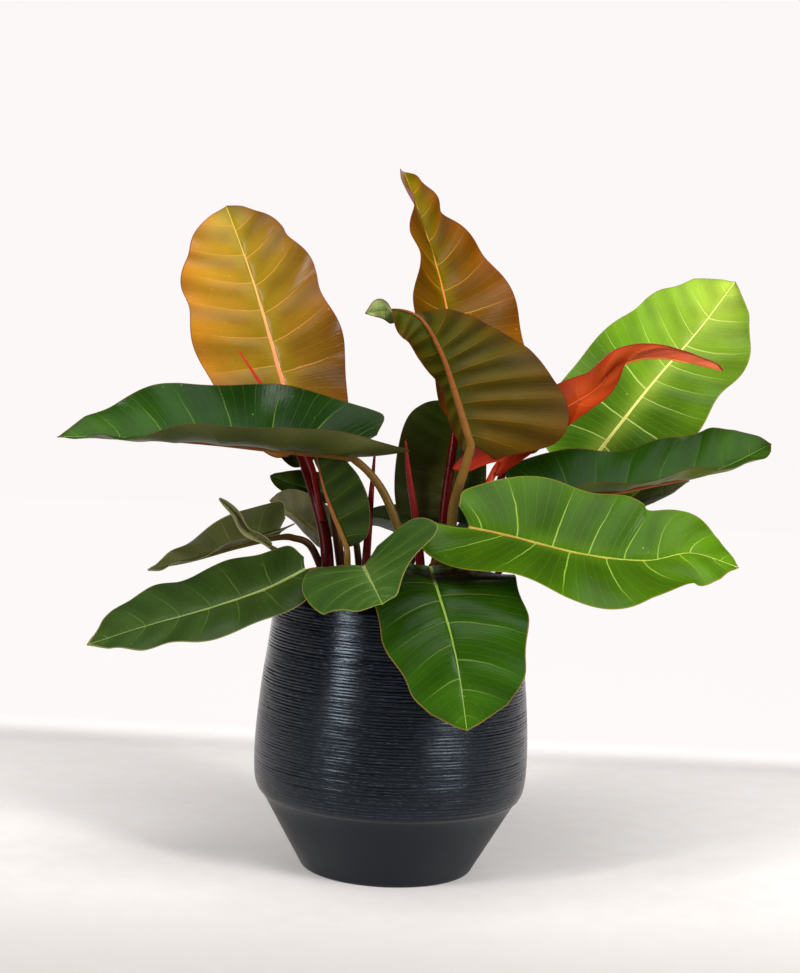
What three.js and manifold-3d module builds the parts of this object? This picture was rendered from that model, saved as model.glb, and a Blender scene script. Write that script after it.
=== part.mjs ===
// A philodendron with orange young leaves, in the ribbed round pot that it grows in.
// Millimetres, +Z up, the front towards -Y. The origin is the middle of the pot's flat base.
// Every leaf is a waved blade on a stalk that runs on under it as its midrib.
import * as THREE from "three";
import { mergeVertices } from "three/addons/utils/BufferGeometryUtils.js";
import Module from "manifold-3d";

const wasm = await Module();
wasm.setup();

// Driving dimensions
const CLEARANCE = 0.3; // left between pieces that touch
const BLADE_THICKNESS = 1.2;
const STALK_SIDES = 6;
const STALK_STEPS = 7; // from the soil to the leaf's base
const MIDRIB_END = 0.87; // share of the blade that the midrib runs under
const MIDRIB_START_SHARE = 0.85; // its radius at the base, as a share of the stalk's
const MIDRIB_TAPER = 0.75;
const POT_SEGMENTS = 38;
const POT_HEIGHT = 345;
const POT_WALL = 11;
const POT_RIM_RADIUS = 149;
const POT_RIM_BEVEL = 3;
const POT_RIM_THINNING = 2; // how much thinner than the wall the rim is
const POT_INSIDE_HEIGHTS = [14, 86, 106, 207, 309]; // from the pot's floor to the soil's edge
const SOIL_CROWN_HEIGHT = 314;
const SOIL_SHOULDER = [90, 313]; // radius and height where the soil starts to fall to its edge
const ROOT_DEPTH_Z = 300; // where the stalks end in the soil
const COLLAR_Z = 318; // up to here they stand straight up
const STEM_BASE_Z = 295;
const BORE_REACH = 30; // how far above its floor a hole in the soil is cut

// The pot's outer outline from the base up, as radius and height
const POT_OUTLINE = [
  [106, 0],
  [110.5, 8],
  [133, 47],
  [155.5, 86],
  [163, 95],
  [167.5, 106],
  [169.5, 122],
  [170, 145],
  [169, 174],
  [166.5, 207],
  [163.5, 238],
  [159, 272],
  [155, 306],
  [151.5, 332],
];

const COLOURS = {
  pot: 0x23262c,
  soil: 0x3b2c20,
  stem: 0x5d5a34,
  golden: 0xb07826,
  copper: 0x8f6a24,
  olive: 0x54491c,
  green: 0x2f5f23,
  lime: 0x569427,
  dark: 0x233f22,
  grey: 0x5c6b55,
  flame: 0xc8472a,
  crimson: 0x6d1620,
  tan: 0x9a7a3c,
  umber: 0x5d4a2c,
};

// A blade's outline: half its width is given at these shares of its edge, from the lobe to the tip
const STATIONS = [0, 0.1, 0.25, 0.45, 0.65, 0.82, 0.94, 1];
const EDGE_SWEEP = [0, -0.04, 0.03, 0.11, 0.12, 0.08, 0.035, 0]; // how far the side veins lead forward
const LOBE_SHARE = [0.55, 1, 0.6, 0.2, 0, 0, 0, 0]; // how far the base lobes lie back
const TIP_HALF_WIDTH = 0.8;
const LEAST_HALF_WIDTH = 0.3;
const VEIN_BEND = 1.5;
const WAVE_FADE = 3; // the waves die away over the last third of the blade
const WAVE_FLARE = 0.6; // how far the edge swings out and in, as a share of a wave's height

// Each leaf by hand: spine is its midline from base to tip, face the way its upper side looks along it,
// left and right the half widths at the stations, lobe the length of the base lobes as a share of its
// length, fold how far each half lifts at the midline and curl how far it turns on to its edge, both in
// degrees, wave the height, count and start of the waves in each edge, and route and radii the stalk.
const LEAVES = [
  {
    name: "upper_left",
    blade: "golden",
    stalk: "crimson",
    grid: [14, 4],
    spine: [[-133, 40, 516], [-164, 60, 611], [-202, 85, 718], [-229, 105, 782], [-246, 125, 819]],
    face: [[0.05, -1, 0.25], [0, -1, 0.35]],
    left: [18, 42, 84, 93, 82, 56, 26],
    right: [20, 55, 85, 83, 68, 46, 22],
    lobe: [0.06, 0.06],
    fold: [[8, 4], [8, 4]],
    curl: [[-6, -6], [-20, -6]],
    wave: [[6, 4.5, 0.2], [6, 4.5, 0.5]],
    route: [[-86, -2, 300], [-86, -2, 335], [-93, 6, 400], [-110, 19, 458]],
    radii: [8, 8, 7.5, 7],
  },
  {
    name: "top",
    blade: "copper",
    stalk: "crimson",
    grid: [14, 4],
    spine: [[66, 48, 576], [50, 62, 672], [31, 76, 745], [5, 88, 816], [-18, 100, 872]],
    face: [[0.25, -1, 0.2], [0.35, -1, 0.2], [0.5, -1, 0.3]],
    left: [10, 26, 54, 64, 64, 60, 40],
    right: [22, 66, 100, 78, 40, 28, 18],
    lobe: [0.08, 0.08],
    fold: [[30, 30, 55, 50], [0, 0, 0]],
    curl: [[5, 5], [0, 0]],
    wave: [[6, 4, 0.35], [6, 5, 0.2]],
    route: [[58, 30, 300], [58, 30, 335], [53, 34, 430], [60, 40, 520]],
    radii: [6.5, 6.5, 6, 5.5],
  },
  {
    name: "arching",
    blade: "olive",
    stalk: "tan",
    grid: [14, 4],
    spine: [
      [78, -40, 533], [54, -62, 599], [35, -85, 643], [9, -105, 679], [-24, -108, 687],
      [-54, -112, 681],
    ],
    face: [[-0.2, 1, 0.1], [-0.2, 1, 0.1], [-0.2, 1, -0.1], [-0.3, 0.9, -0.4], [0, -0.9, -0.4]],
    left: [25, 108, 132, 92, 44, 22, 10],
    right: [14, 22, 20, 24, 30, 32, 16],
    lobe: [0.26, 0.1],
    sweep: 0.1,
    bend: 1.2,
    fold: [[5, 5, 10, 40, 50], [60, 50, 30, 0, 0]],
    curl: [[0, 0, 20, 50, 20], [10, 10, 10, 0, 0]],
    wave: [[5, 4.5, 0.2], [3, 4, 0]],
    route: [[68, -6, 300], [68, -6, 335], [62, -15, 440], [72, -32, 496]],
    radii: [6.5, 6.5, 6, 5.5],
  },
  {
    name: "left",
    blade: "green",
    stalk: "tan",
    grid: [14, 4],
    spine: [[-64, -30, 513], [-148, -60, 517], [-232, -85, 522], [-313, -100, 523], [-409, -110, 520]],
    face: [[-0.05, -0.3, 1], [0, -0.25, 1], [0, -0.1, 1]],
    left: [25, 65, 84, 86, 72, 46, 22],
    right: [25, 62, 80, 78, 60, 32, 15],
    lobe: [0.2, 0.17],
    fold: [[-5, 0, 0, 5], [35, 40, 40, 40]],
    curl: [[60, 70, 20, 0], [20, 20, 0]],
    wave: [[4, 4, 0.2], [6, 3.5, 0.1]],
    route: [[14, 20, 300], [14, 20, 335], [4, -6, 400], [-26, -16, 470]],
    radii: [6.5, 6.5, 5.5, 5],
  },
  {
    name: "upper_right",
    blade: "lime",
    stalk: "crimson",
    grid: [14, 4],
    spine: [[230, 75, 501], [251, 80, 530], [315, 98, 617], [374, 118, 689], [421, 140, 754]],
    face: [[-0.15, -1, 0.2], [-0.1, -1, 0.3]],
    left: [24, 66, 94, 88, 72, 48, 24],
    right: [24, 62, 82, 80, 72, 42, 18],
    lobe: [0.06, 0.06],
    fold: [[5, 5], [5, 5]],
    curl: [[-5, -5], [-5, -5]],
    wave: [[4, 4.5, 0.2], [5, 4, 0.6]],
    route: [[74, 42, 300], [74, 42, 335], [140, 52, 420], [196, 64, 474]],
    radii: [6.5, 6.5, 5.5, 5],
  },
  {
    name: "right",
    blade: "dark",
    stalk: "tan",
    grid: [14, 4],
    spine: [[141, 0, 474], [243, -10, 480], [305, -17, 493], [381, -20, 513], [448, -17, 548]],
    face: [[0, -0.3, 1], [-0.1, -0.3, 1], [-0.3, -0.5, 1]],
    left: [20, 44, 60, 58, 60, 44, 22],
    right: [20, 34, 44, 50, 48, 38, 18],
    lobe: [0.08, 0.08],
    fold: [[35, 35, 30, 30], [0, 5, 10, 0]],
    curl: [[10, 5], [40, 45, 45, -20]],
    wave: [[4, 4, 0.2], [5, 4, 0]],
    route: [[84, -4, 300], [84, -4, 335], [106, -16, 420]],
    radii: [6, 6, 5],
  },
  {
    name: "right_front",
    blade: "lime",
    stalk: "flame",
    grid: [14, 4],
    spine: [
      [80, -85, 434], [126, -95, 427], [216, -115, 411], [289, -122, 408], [341, -120, 419],
      [399, -112, 404],
    ],
    face: [[0.1, -0.75, 0.75], [0.05, -0.6, 0.75]],
    left: [22, 54, 84, 84, 62, 34, 22],
    right: [25, 60, 92, 84, 60, 40, 18],
    lobe: [0.1, 0.2],
    fold: [[22, 12], [30, 14, 12]],
    curl: [[-6, -6], [-12, -6]],
    wave: [[5, 4, 0.2], [10, 3.4, 0.28]],
    route: [[58, -16, 300], [58, -16, 335], [68, -50, 405]],
    radii: [6, 6, 5],
  },
  {
    name: "front",
    blade: "green",
    stalk: "umber",
    grid: [14, 4],
    spine: [[37, -60, 383], [44, -150, 368], [60, -190, 325], [72, -210, 281], [84, -225, 217]],
    face: [[0, -0.1, 1], [0, -0.6, 0.8], [0, -1, 0.2]],
    left: [25, 66, 94, 92, 76, 54, 26],
    right: [22, 58, 78, 78, 62, 42, 22],
    lobe: [0.06, 0.06],
    fold: [[5, 5], [5, 5]],
    curl: [[-10, -5], [-10, -5]],
    wave: [[4, 4, 0.2], [4, 4, 0]],
    route: [[42, -18, 300], [42, -18, 340], [50, -26, 380], [45, -38, 386]],
    radii: [5.5, 5.5, 5, 5],
  },
  {
    name: "front_small",
    blade: "green",
    stalk: "tan",
    grid: [14, 4],
    spine: [[-42, -148, 389], [-34, -198, 381], [-25, -244, 372], [-17, -288, 363]],
    face: [[-0.1, -0.25, 1], [-0.1, -0.6, 1]],
    left: [24, 78, 98, 56, 30, 16, 8],
    right: [20, 60, 80, 66, 46, 30, 16],
    lobe: [0.35, 0.35],
    fold: [[35, 25, 0], [5, -5, 0]],
    curl: [[-10, 0], [-40, -30]],
    wave: [[4, 2, 0.2], [4, 2, 0]],
    route: [[-22, -8, 300], [-22, -8, 325], [-38, -74, 376]],
    radii: [5, 5, 4],
  },
  {
    name: "left_front",
    blade: "green",
    stalk: "tan",
    grid: [14, 4],
    spine: [[-112, -84, 375], [-157, -104, 351], [-223, -125, 327], [-291, -140, 306], [-358, -150, 282]],
    face: [[-0.1, -0.55, 0.85], [-0.1, -0.5, 0.85]],
    left: [14, 34, 50, 52, 40, 22, 9],
    right: [16, 46, 62, 60, 52, 34, 16],
    lobe: [0.05, 0.05],
    fold: [[5, 5], [10, 10]],
    curl: [[-20, -5], [-5, -5]],
    wave: [[3, 4, 0.2], [3, 4, 0]],
    route: [[-76, -14, 300], [-76, -14, 330], [-84, -48, 368]],
    radii: [5, 5, 4.5],
  },
  {
    name: "left_low",
    blade: "grey",
    stalk: "umber",
    grid: [10, 3],
    spine: [[-151, 0, 408], [-204, -15, 392], [-257, -25, 373], [-308, -30, 360]],
    face: [[0, -0.1, 1], [0, -0.2, 1]],
    left: [14, 34, 40, 34, 24, 14, 7],
    right: [16, 42, 46, 34, 24, 14, 7],
    lobe: [0.15, 0.15],
    fold: [[40, 20], [50, 20]],
    curl: [[-30, -10], [20, 0]],
    wave: [[3, 3, 0.2], [3, 3, 0]],
    route: [[-86, 16, 300], [-86, 16, 335], [-110, 8, 392], [-134, 2, 404]],
    radii: [5, 5, 4.5, 4],
  },
  {
    name: "curled",
    blade: "grey",
    stalk: "umber",
    grid: [10, 3],
    spine: [[-158, -55, 398], [-180, -60, 413], [-197, -64, 434], [-220, -68, 454]],
    face: [[-0.5, -0.6, 0.5], [-0.5, -0.6, 0.5]],
    left: [5, 10, 12, 12, 10, 8, 4],
    right: [5, 10, 12, 12, 10, 8, 4],
    lobe: [0.02, 0.02],
    fold: [[60, 60], [60, 60]],
    curl: [[20, 20], [20, 20]],
    route: [[-100, -20, 300], [-100, -20, 335], [-132, -32, 378]],
    radii: [3.5, 3.5, 3],
  },
  {
    name: "left_grey",
    blade: "grey",
    stalk: "umber",
    grid: [10, 3],
    spine: [[-92, 44, 399], [-116, 52, 416], [-141, 64, 432], [-170, 80, 443]],
    face: [[-0.1, 0.8, 0.5], [0.2, 0.8, 0.5]],
    left: [12, 28, 34, 32, 25, 15, 7],
    right: [12, 26, 32, 30, 24, 15, 7],
    lobe: [0.05, 0.05],
    fold: [[20, 20], [20, 20]],
    curl: [[10, 10], [10, 10]],
    route: [[-84, 50, 300], [-84, 50, 345]],
    radii: [4, 4],
  },
  {
    name: "left_back",
    blade: "dark",
    stalk: "umber",
    grid: [10, 3],
    spine: [[-83, 80, 455], [-117, 88, 460], [-146, 95, 466], [-172, 103, 474]],
    face: [[-0.1, -0.6, 0.7], [0, -0.6, 0.7]],
    left: [10, 22, 28, 26, 20, 13, 6],
    right: [10, 20, 26, 24, 17, 10, 5],
    lobe: [0.05, 0.05],
    fold: [[10, 10], [10, 10]],
    curl: [[0, 0], [0, 0]],
    route: [[-48, 52, 300], [-48, 52, 340], [-60, 68, 410]],
    radii: [4.5, 4.5, 4],
  },
  {
    name: "centre_olive",
    blade: "olive",
    stalk: "tan",
    grid: [10, 3],
    spine: [[-64, -26, 398], [-84, -18, 438], [-98, -12, 471], [-107, -8, 505], [-110, -6, 527]],
    face: [[0.3, 1, 0.2], [0.3, 1, 0.3]],
    left: [14, 32, 48, 48, 36, 22, 10],
    right: [8, 14, 18, 20, 14, 10, 6],
    lobe: [0.03, 0.03],
    fold: [[0, 0], [60, 60]],
    curl: [[0, 0], [0, 0]],
    route: [[-58, -16, 300], [-58, -16, 340], [-63, -32, 372]],
    radii: [5, 5, 4],
  },
  {
    name: "centre_dark",
    blade: "dark",
    stalk: "umber",
    grid: [14, 4],
    spine: [[53, 66, 430], [56, 76, 482], [60, 88, 528], [67, 110, 580]],
    face: [[0.1, -1, 0.2], [0.1, -1, 0.3]],
    left: [44, 60, 68, 68, 62, 48, 28],
    right: [34, 46, 50, 46, 36, 24, 12],
    lobe: [0.03, 0.03],
    fold: [[5, 5], [15, 15]],
    curl: [[0, 0], [0, 0]],
    route: [[38, 30, 300], [38, 30, 335], [46, 50, 390]],
    radii: [5, 5, 4.5],
  },
  {
    name: "orange_young",
    blade: "flame",
    stalk: "flame",
    grid: [14, 4],
    spine: [[119, 20, 509], [184, 15, 571], [229, 15, 602], [264, 18, 638], [313, 20, 649], [391, 25, 636]],
    face: [[0.3, -0.8, 0.5], [0.3, -0.9, 0.4], [0.2, -0.6, 0.8], [0, 0.2, 1]],
    left: [18, 40, 44, 25, 15, 11, 7],
    right: [10, 18, 28, 28, 15, 11, 7],
    lobe: [0.2, 0.08],
    fold: [[20, 30, 60, 60], [20, 30, 60, 60]],
    curl: [[20, 20], [20, 20]],
    route: [[71, 9, 300], [71, 9, 335], [90, 10, 440], [104, 12, 478]],
    radii: [6, 6, 5, 4.5],
  },
  {
    name: "right_low",
    blade: "grey",
    stalk: "umber",
    grid: [10, 3],
    spine: [[201, 60, 437], [266, 70, 450], [323, 78, 471], [367, 85, 494]],
    face: [[0, -0.3, 1], [0, -0.1, 1]],
    left: [20, 35, 40, 40, 30, 16, 7],
    right: [20, 35, 40, 40, 30, 16, 7],
    lobe: [0.05, 0.05],
    fold: [[30, 40], [10, 10]],
    curl: [[0, 0], [0, 0]],
    route: [[100, 12, 300], [100, 12, 335], [150, 36, 400]],
    radii: [4, 4, 3.5],
  },
  {
    name: "back_low",
    blade: "dark",
    stalk: "umber",
    grid: [10, 3],
    spine: [[31, 80, 408], [9, 105, 417], [-18, 135, 421], [-60, 170, 424]],
    face: [[0.1, -0.5, 0.8], [0.1, -0.5, 0.8]],
    left: [20, 32, 38, 38, 30, 20, 10],
    right: [20, 32, 38, 38, 30, 20, 10],
    lobe: [0.05, 0.05],
    fold: [[10, 10], [10, 10]],
    curl: [[0, 0], [0, 0]],
    route: [[8, 60, 300], [8, 60, 340], [18, 72, 380]],
    radii: [4, 4, 3.5],
  },
  {
    name: "back_left",
    blade: "dark",
    stalk: "umber",
    grid: [10, 3],
    spine: [[-112, 84, 505], [-138, 130, 560], [-170, 190, 592], [-205, 250, 598]],
    face: [[0, -0.4, 1], [0, 0.1, 1]],
    left: [14, 44, 60, 62, 54, 36, 17],
    right: [14, 44, 60, 62, 54, 36, 17],
    lobe: [0.15, 0.15],
    fold: [[15], [15]],
    curl: [[-10], [-10]],
    wave: [[3, 4, 0.2], [3, 4, 0]],
    route: [[-68, 31, 300], [-68, 31, 335], [-79, 27, 400], [-92, 46, 462]],
    radii: [6, 6, 5.5, 5],
  },
  {
    name: "back_centre",
    blade: "dark",
    stalk: "crimson",
    grid: [10, 3],
    spine: [[138, 98, 526], [148, 160, 568], [161, 222, 594], [174, 285, 598]],
    face: [[0, -0.5, 1], [0, 0, 1]],
    left: [12, 34, 46, 46, 40, 26, 12],
    right: [12, 34, 46, 46, 40, 26, 12],
    lobe: [0.15, 0.15],
    fold: [[15], [15]],
    curl: [[-10], [-10]],
    wave: [[3, 4, 0.2], [3, 4, 0]],
    route: [[84, 24, 300], [84, 24, 335], [104, 38, 420], [126, 62, 494]],
    radii: [6, 6, 5, 4.5],
  },
  {
    name: "back_right",
    blade: "dark",
    stalk: "umber",
    grid: [10, 3],
    spine: [[112, 98, 412], [158, 142, 438], [210, 192, 450], [262, 242, 434]],
    face: [[-0.2, -0.4, 1], [0, 0, 1]],
    left: [14, 40, 56, 58, 50, 32, 15],
    right: [14, 40, 56, 58, 50, 32, 15],
    lobe: [0.15, 0.15],
    fold: [[15], [15]],
    curl: [[-10], [-10]],
    wave: [[3, 4, 0.2], [3, 4, 0]],
    route: [[58, 58, 300], [58, 58, 340], [84, 76, 385]],
    radii: [5, 5, 4.5],
  },
];

// Rolled new leaves that stand up as pointed sheaths
const SHEATHS = [
  {
    name: "sheath_left",
    route: [[-40, 4, 300], [-40, 4, 318], [-42, 4, 360], [-40, 8, 440], [-37, 10, 520]],
    radii: [6, 6, 6, 4.5, 1.2],
  },
  {
    name: "sheath_centre",
    route: [[30, -12, 300], [30, -12, 318], [30, -12, 340], [20, -20, 420], [6, -26, 492], [0, -30, 533]],
    radii: [6.5, 6.5, 6.5, 5.5, 3.5, 1.2],
  },
];
// One more sheath grows out of the upper left leaf's stalk
const STALK_SHEATH = {
  stalk: "upper_left",
  route: [[-98, 2, 425], [-118, 15, 500], [-160, 20, 560], [-214, 30, 634]],
  radii: [4.5, 4, 3.2, 1],
};
const SHEATH_STEPS = 10;

// Short stems that the stalks grow round, by the place of each in the soil
const STEM_SIDES = 8;
const STEM_RADII = [13, 13, 9];
const STEM_HEIGHTS = [STEM_BASE_Z, 320, 345];
const STEMS = { left: [-62, 8], right: [48, 8], back: [-4, 38] };

// How finely the forms are worked out
const CURVE_STEPS = 400; // lengths measured along a leaf's midline
const TANGENT_STEP = 1e-3; // share of the midline to each side of a point
const LEAST_CURL = 1e-3; // radians, below which a blade counts as flat
const MERGE_DISTANCE = 1e-3;
const MIDRIB_EASE = 0.05; // added to the clearance, as the blade's faces are flat between its rows

const radians = THREE.MathUtils.degToRad;
const clamp = THREE.MathUtils.clamp;

// Cubic through values at uneven stations, with the slope at each taken from its neighbours
function smoothAt(stations, values, x) {
  const last = stations.length - 1;
  const slope = (k) => {
    const low = Math.max(k - 1, 0);
    const high = Math.min(k + 1, last);
    return (values[high] - values[low]) / (stations[high] - stations[low]);
  };
  let k = 0;
  while (k < last - 1 && x >= stations[k + 1]) k += 1;
  const span = stations[k + 1] - stations[k];
  const w = (x - stations[k]) / span;
  const rise = (2 * w ** 3 - 3 * w ** 2 + 1) * values[k] + (3 * w ** 2 - 2 * w ** 3) * values[k + 1];
  const start = (w ** 3 - 2 * w ** 2 + w) * slope(k);
  const end = (w ** 3 - w ** 2) * slope(k + 1);
  return rise + span * (start + end);
}

// Straight line through values that are spaced evenly from 0 to 1
function evenAt(values, x) {
  if (values.length === 1) return values[0];
  const place = clamp(x, 0, 1) * (values.length - 1);
  const k = Math.min(Math.floor(place), values.length - 2);
  return THREE.MathUtils.lerp(values[k], values[k + 1], place - k);
}

function directionAt(vectors, x) {
  return new THREE.Vector3(
    evenAt(vectors.map((v) => v[0]), x),
    evenAt(vectors.map((v) => v[1]), x),
    evenAt(vectors.map((v) => v[2]), x),
  );
}

function curveThrough(points) {
  const vectors = points.map((p) => new THREE.Vector3(...p));
  return new THREE.CatmullRomCurve3(vectors, false, "catmullrom", 0.5);
}

// A leaf's curved sheet, as a point for each share u along it and v from its midline to its edge
class LeafForm {
  constructor(leaf) {
    this.leaf = leaf;
    this.curve = curveThrough(leaf.spine);
    this.lengths = this.curve.getLengths(CURVE_STEPS);
    this.length = this.lengths[CURVE_STEPS];
    this.widths = {
      left: [...leaf.left, TIP_HALF_WIDTH],
      right: [...leaf.right, TIP_HALF_WIDTH],
    };
  }

  // The curve's own parameter at a length along it
  parameterAt(length) {
    const wanted = clamp(length, 0, this.length);
    let k = 0;
    while (k < CURVE_STEPS - 1 && this.lengths[k + 1] < wanted) k += 1;
    const share = (wanted - this.lengths[k]) / (this.lengths[k + 1] - this.lengths[k]);
    return (k + share) / CURVE_STEPS;
  }

  frameAt(length) {
    const t = this.parameterAt(length);
    const before = this.curve.getPoint(Math.max(t - TANGENT_STEP, 0));
    const after = this.curve.getPoint(Math.min(t + TANGENT_STEP, 1));
    const along = after.sub(before).normalize();
    const up = directionAt(this.leaf.face, clamp(length / this.length, 0, 1));
    up.addScaledVector(along, -up.dot(along)).normalize();
    const across = new THREE.Vector3().crossVectors(along, up);
    return { along, up, across, middle: this.curve.getPoint(t) };
  }

  pointAt(side, u, v) {
    const { leaf, length } = this;
    const half = side < 0 ? 0 : 1;
    const widths = side < 0 ? this.widths.left : this.widths.right;
    const width = Math.max(smoothAt(STATIONS, widths, u), LEAST_HALF_WIDTH);
    const sweep = leaf.sweep ?? 1;
    const swept = STATIONS.map((s, k) => s + sweep * EDGE_SWEEP[k]);
    const lobe = leaf.lobe[half] * smoothAt(STATIONS, LOBE_SHARE, u);
    const edgePlace = length * (smoothAt(STATIONS, swept, u) - lobe);
    const place = u * length + (edgePlace - u * length) * v ** (leaf.bend ?? VEIN_BEND);
    const { along, up, across, middle } = this.frameAt(Math.max(place, 0));
    const fold = radians(evenAt(leaf.fold[half], u));
    const turn = radians(evenAt(leaf.curl[half], u));
    const curl = Math.abs(turn) < LEAST_CURL ? LEAST_CURL : turn;
    const out = (width * (Math.sin(fold + curl * v) - Math.sin(fold))) / curl;
    const lift = (width * (Math.cos(fold) - Math.cos(fold + curl * v))) / curl;
    const [height, count, start] = leaf.wave ? leaf.wave[half] : [0, 0, 0];
    const size = height * v * v * Math.min(1, WAVE_FADE * (1 - u));
    const turns = 2 * Math.PI * (count * u + start);
    const ripple = size * Math.sin(turns);
    const flare = WAVE_FLARE * size * Math.cos(turns);
    const tilt = fold + curl * v;
    return middle
      .addScaledVector(along, Math.min(place, 0))
      .addScaledVector(across, side * (out + flare * Math.cos(tilt) - ripple * Math.sin(tilt)))
      .addScaledVector(up, lift + flare * Math.sin(tilt) + ripple * Math.cos(tilt));
  }

  // Points in rows from the base to the tip, each from the left edge over the midline to the right edge
  rows(rowCount, columnCount) {
    const rows = [];
    for (let i = 0; i <= rowCount; i += 1) {
      const u = i / rowCount;
      const row = [];
      for (let j = -columnCount; j <= columnCount; j += 1) {
        row.push(this.pointAt(j < 0 ? -1 : 1, u, Math.abs(j) / columnCount));
      }
      rows.push(row);
    }
    return rows;
  }
}

function geometryFrom(points, triangles) {
  const geometry = new THREE.BufferGeometry();
  geometry.setAttribute("position", new THREE.Float32BufferAttribute(points.flatMap((p) => p.toArray()), 3));
  geometry.setIndex(triangles.flat());
  geometry.computeVertexNormals();
  return geometry;
}

// The sheet given its thickness: both faces are split into triangles alike, and the edge joins them
function bladeGeometry(form, [rowCount, columnCount]) {
  const rows = form.rows(rowCount, columnCount);
  const height = rows.length;
  const width = rows[0].length;
  const near = (list, k) => list[clamp(k, 0, list.length - 1)];
  const upper = [];
  const lower = [];
  rows.forEach((row, i) => {
    row.forEach((point, j) => {
      const along = new THREE.Vector3().subVectors(near(rows, i + 1)[j], near(rows, i - 1)[j]);
      const across = new THREE.Vector3().subVectors(near(row, j + 1), near(row, j - 1));
      const normal = across.cross(along).normalize();
      upper.push(point.clone().addScaledVector(normal, BLADE_THICKNESS / 2));
      lower.push(point.clone().addScaledVector(normal, -BLADE_THICKNESS / 2));
    });
  });
  const under = upper.length;
  const triangles = [];
  for (let i = 0; i < height - 1; i += 1) {
    for (let j = 0; j < width - 1; j += 1) {
      const a = i * width + j;
      const c = a + width;
      triangles.push([a, a + 1, c + 1], [a, c + 1, c]);
      triangles.push([under + a, under + c + 1, under + a + 1], [under + a, under + c, under + c + 1]);
    }
    const left = i * width;
    const right = left + width - 1;
    triangles.push([left, left + width, under + left + width], [left, under + left + width, under + left]);
    triangles.push([right, under + right, under + right + width]);
    triangles.push([right, under + right + width, right + width]);
  }
  const tipRow = (height - 1) * width;
  for (let j = 0; j < width - 1; j += 1) {
    const tip = tipRow + j;
    triangles.push([j, under + j, under + j + 1], [j, under + j + 1, j + 1]);
    triangles.push([tip, tip + 1, under + tip + 1], [tip, under + tip + 1, under + tip]);
  }
  return geometryFrom([...upper, ...lower], triangles);
}

// A closed tube with a radius of its own at each point, so that it can taper
function tubeGeometry(points, radii, sides) {
  const last = points.length - 1;
  const rings = [];
  let side = new THREE.Vector3(1, 0, 0);
  points.forEach((point, k) => {
    const along = new THREE.Vector3()
      .subVectors(points[Math.min(k + 1, last)], points[Math.max(k - 1, 0)])
      .normalize();
    side = side.clone().addScaledVector(along, -side.dot(along)).normalize();
    const other = new THREE.Vector3().crossVectors(along, side);
    for (let j = 0; j < sides; j += 1) {
      const angle = (2 * Math.PI * j) / sides;
      rings.push(
        point
          .clone()
          .addScaledVector(side, radii[k] * Math.cos(angle))
          .addScaledVector(other, radii[k] * Math.sin(angle)),
      );
    }
  });
  const triangles = [];
  for (let k = 0; k < last; k += 1) {
    for (let j = 0; j < sides; j += 1) {
      const a = k * sides + j;
      const b = k * sides + ((j + 1) % sides);
      triangles.push([a, b, b + sides], [a, b + sides, a + sides]);
    }
  }
  const end = last * sides;
  for (let j = 1; j < sides - 1; j += 1) {
    triangles.push([0, j + 1, j], [end, end + j, end + j + 1]);
  }
  return geometryFrom(rings, triangles);
}

// A tube along a route, with the radii spaced evenly over the route's points
function routeTube({ route, radii }, steps) {
  const curve = curveThrough(route);
  const shares = Array.from({ length: steps + 1 }, (_, k) => k / steps);
  return tubeGeometry(
    shares.map((t) => curve.getPoint(t)),
    shares.map((t) => evenAt(radii, t)),
    STALK_SIDES,
  );
}

// The stalk from the soil to the leaf's base, and on under the blade as the midrib, row by row
function stalkGeometry(form, rowCount) {
  const { leaf, length } = form;
  const ribStart = leaf.radii[leaf.radii.length - 1] * MIDRIB_START_SHARE;
  const ribPoints = [];
  const ribRadii = [];
  for (let i = 0; i <= Math.round(MIDRIB_END * rowCount); i += 1) {
    const u = i / rowCount;
    const { up, middle } = form.frameAt(u * length);
    const radius = ribStart * (1 - (MIDRIB_TAPER * u) / MIDRIB_END);
    const droop = Math.max(-evenAt(leaf.fold[0], u), -evenAt(leaf.fold[1], u), 0);
    const drop = BLADE_THICKNESS / 2 + CLEARANCE + MIDRIB_EASE + radius / Math.cos(radians(droop));
    ribPoints.push(middle.addScaledVector(up, -drop));
    ribRadii.push(radius);
  }
  const [root, ...rest] = leaf.route;
  const collar = [root[0], root[1], COLLAR_Z];
  const control = [root, collar, ...rest, ribPoints[0].toArray(), ribPoints[2].toArray()];
  const freeRadii = [leaf.radii[0], ...leaf.radii, ribRadii[0]];
  const curve = curveThrough(control);
  const free = (control.length - 2) / (control.length - 1);
  const points = [];
  const radii = [];
  for (let k = 0; k < STALK_STEPS; k += 1) {
    const t = (free * k) / STALK_STEPS;
    points.push(curve.getPoint(t));
    radii.push(evenAt(freeRadii, t / free));
  }
  return tubeGeometry([...points, ...ribPoints], [...radii, ...ribRadii], STALK_SIDES);
}

// A geometry as a solid that can be joined and cut, and a solid as a geometry again
function solidFrom(geometry) {
  const bare = new THREE.BufferGeometry();
  bare.setAttribute("position", geometry.getAttribute("position"));
  bare.setIndex(geometry.index);
  const merged = mergeVertices(bare, MERGE_DISTANCE);
  const vertProperties = merged.getAttribute("position").array;
  const triVerts = new Uint32Array(merged.index.array);
  return new wasm.Manifold(new wasm.Mesh({ numProp: 3, vertProperties, triVerts }));
}

function geometryOf(solid) {
  const { numProp, vertProperties, triVerts } = solid.getMesh();
  const points = [];
  for (let k = 0; k < vertProperties.length; k += numProp) {
    points.push(new THREE.Vector3(vertProperties[k], vertProperties[k + 1], vertProperties[k + 2]));
  }
  return geometryFrom(points, [Array.from(triVerts)]);
}

function lathe(outline) {
  const points = outline.map(([radius, height]) => new THREE.Vector2(radius, height));
  return new THREE.LatheGeometry(points, POT_SEGMENTS).rotateX(Math.PI / 2);
}

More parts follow.
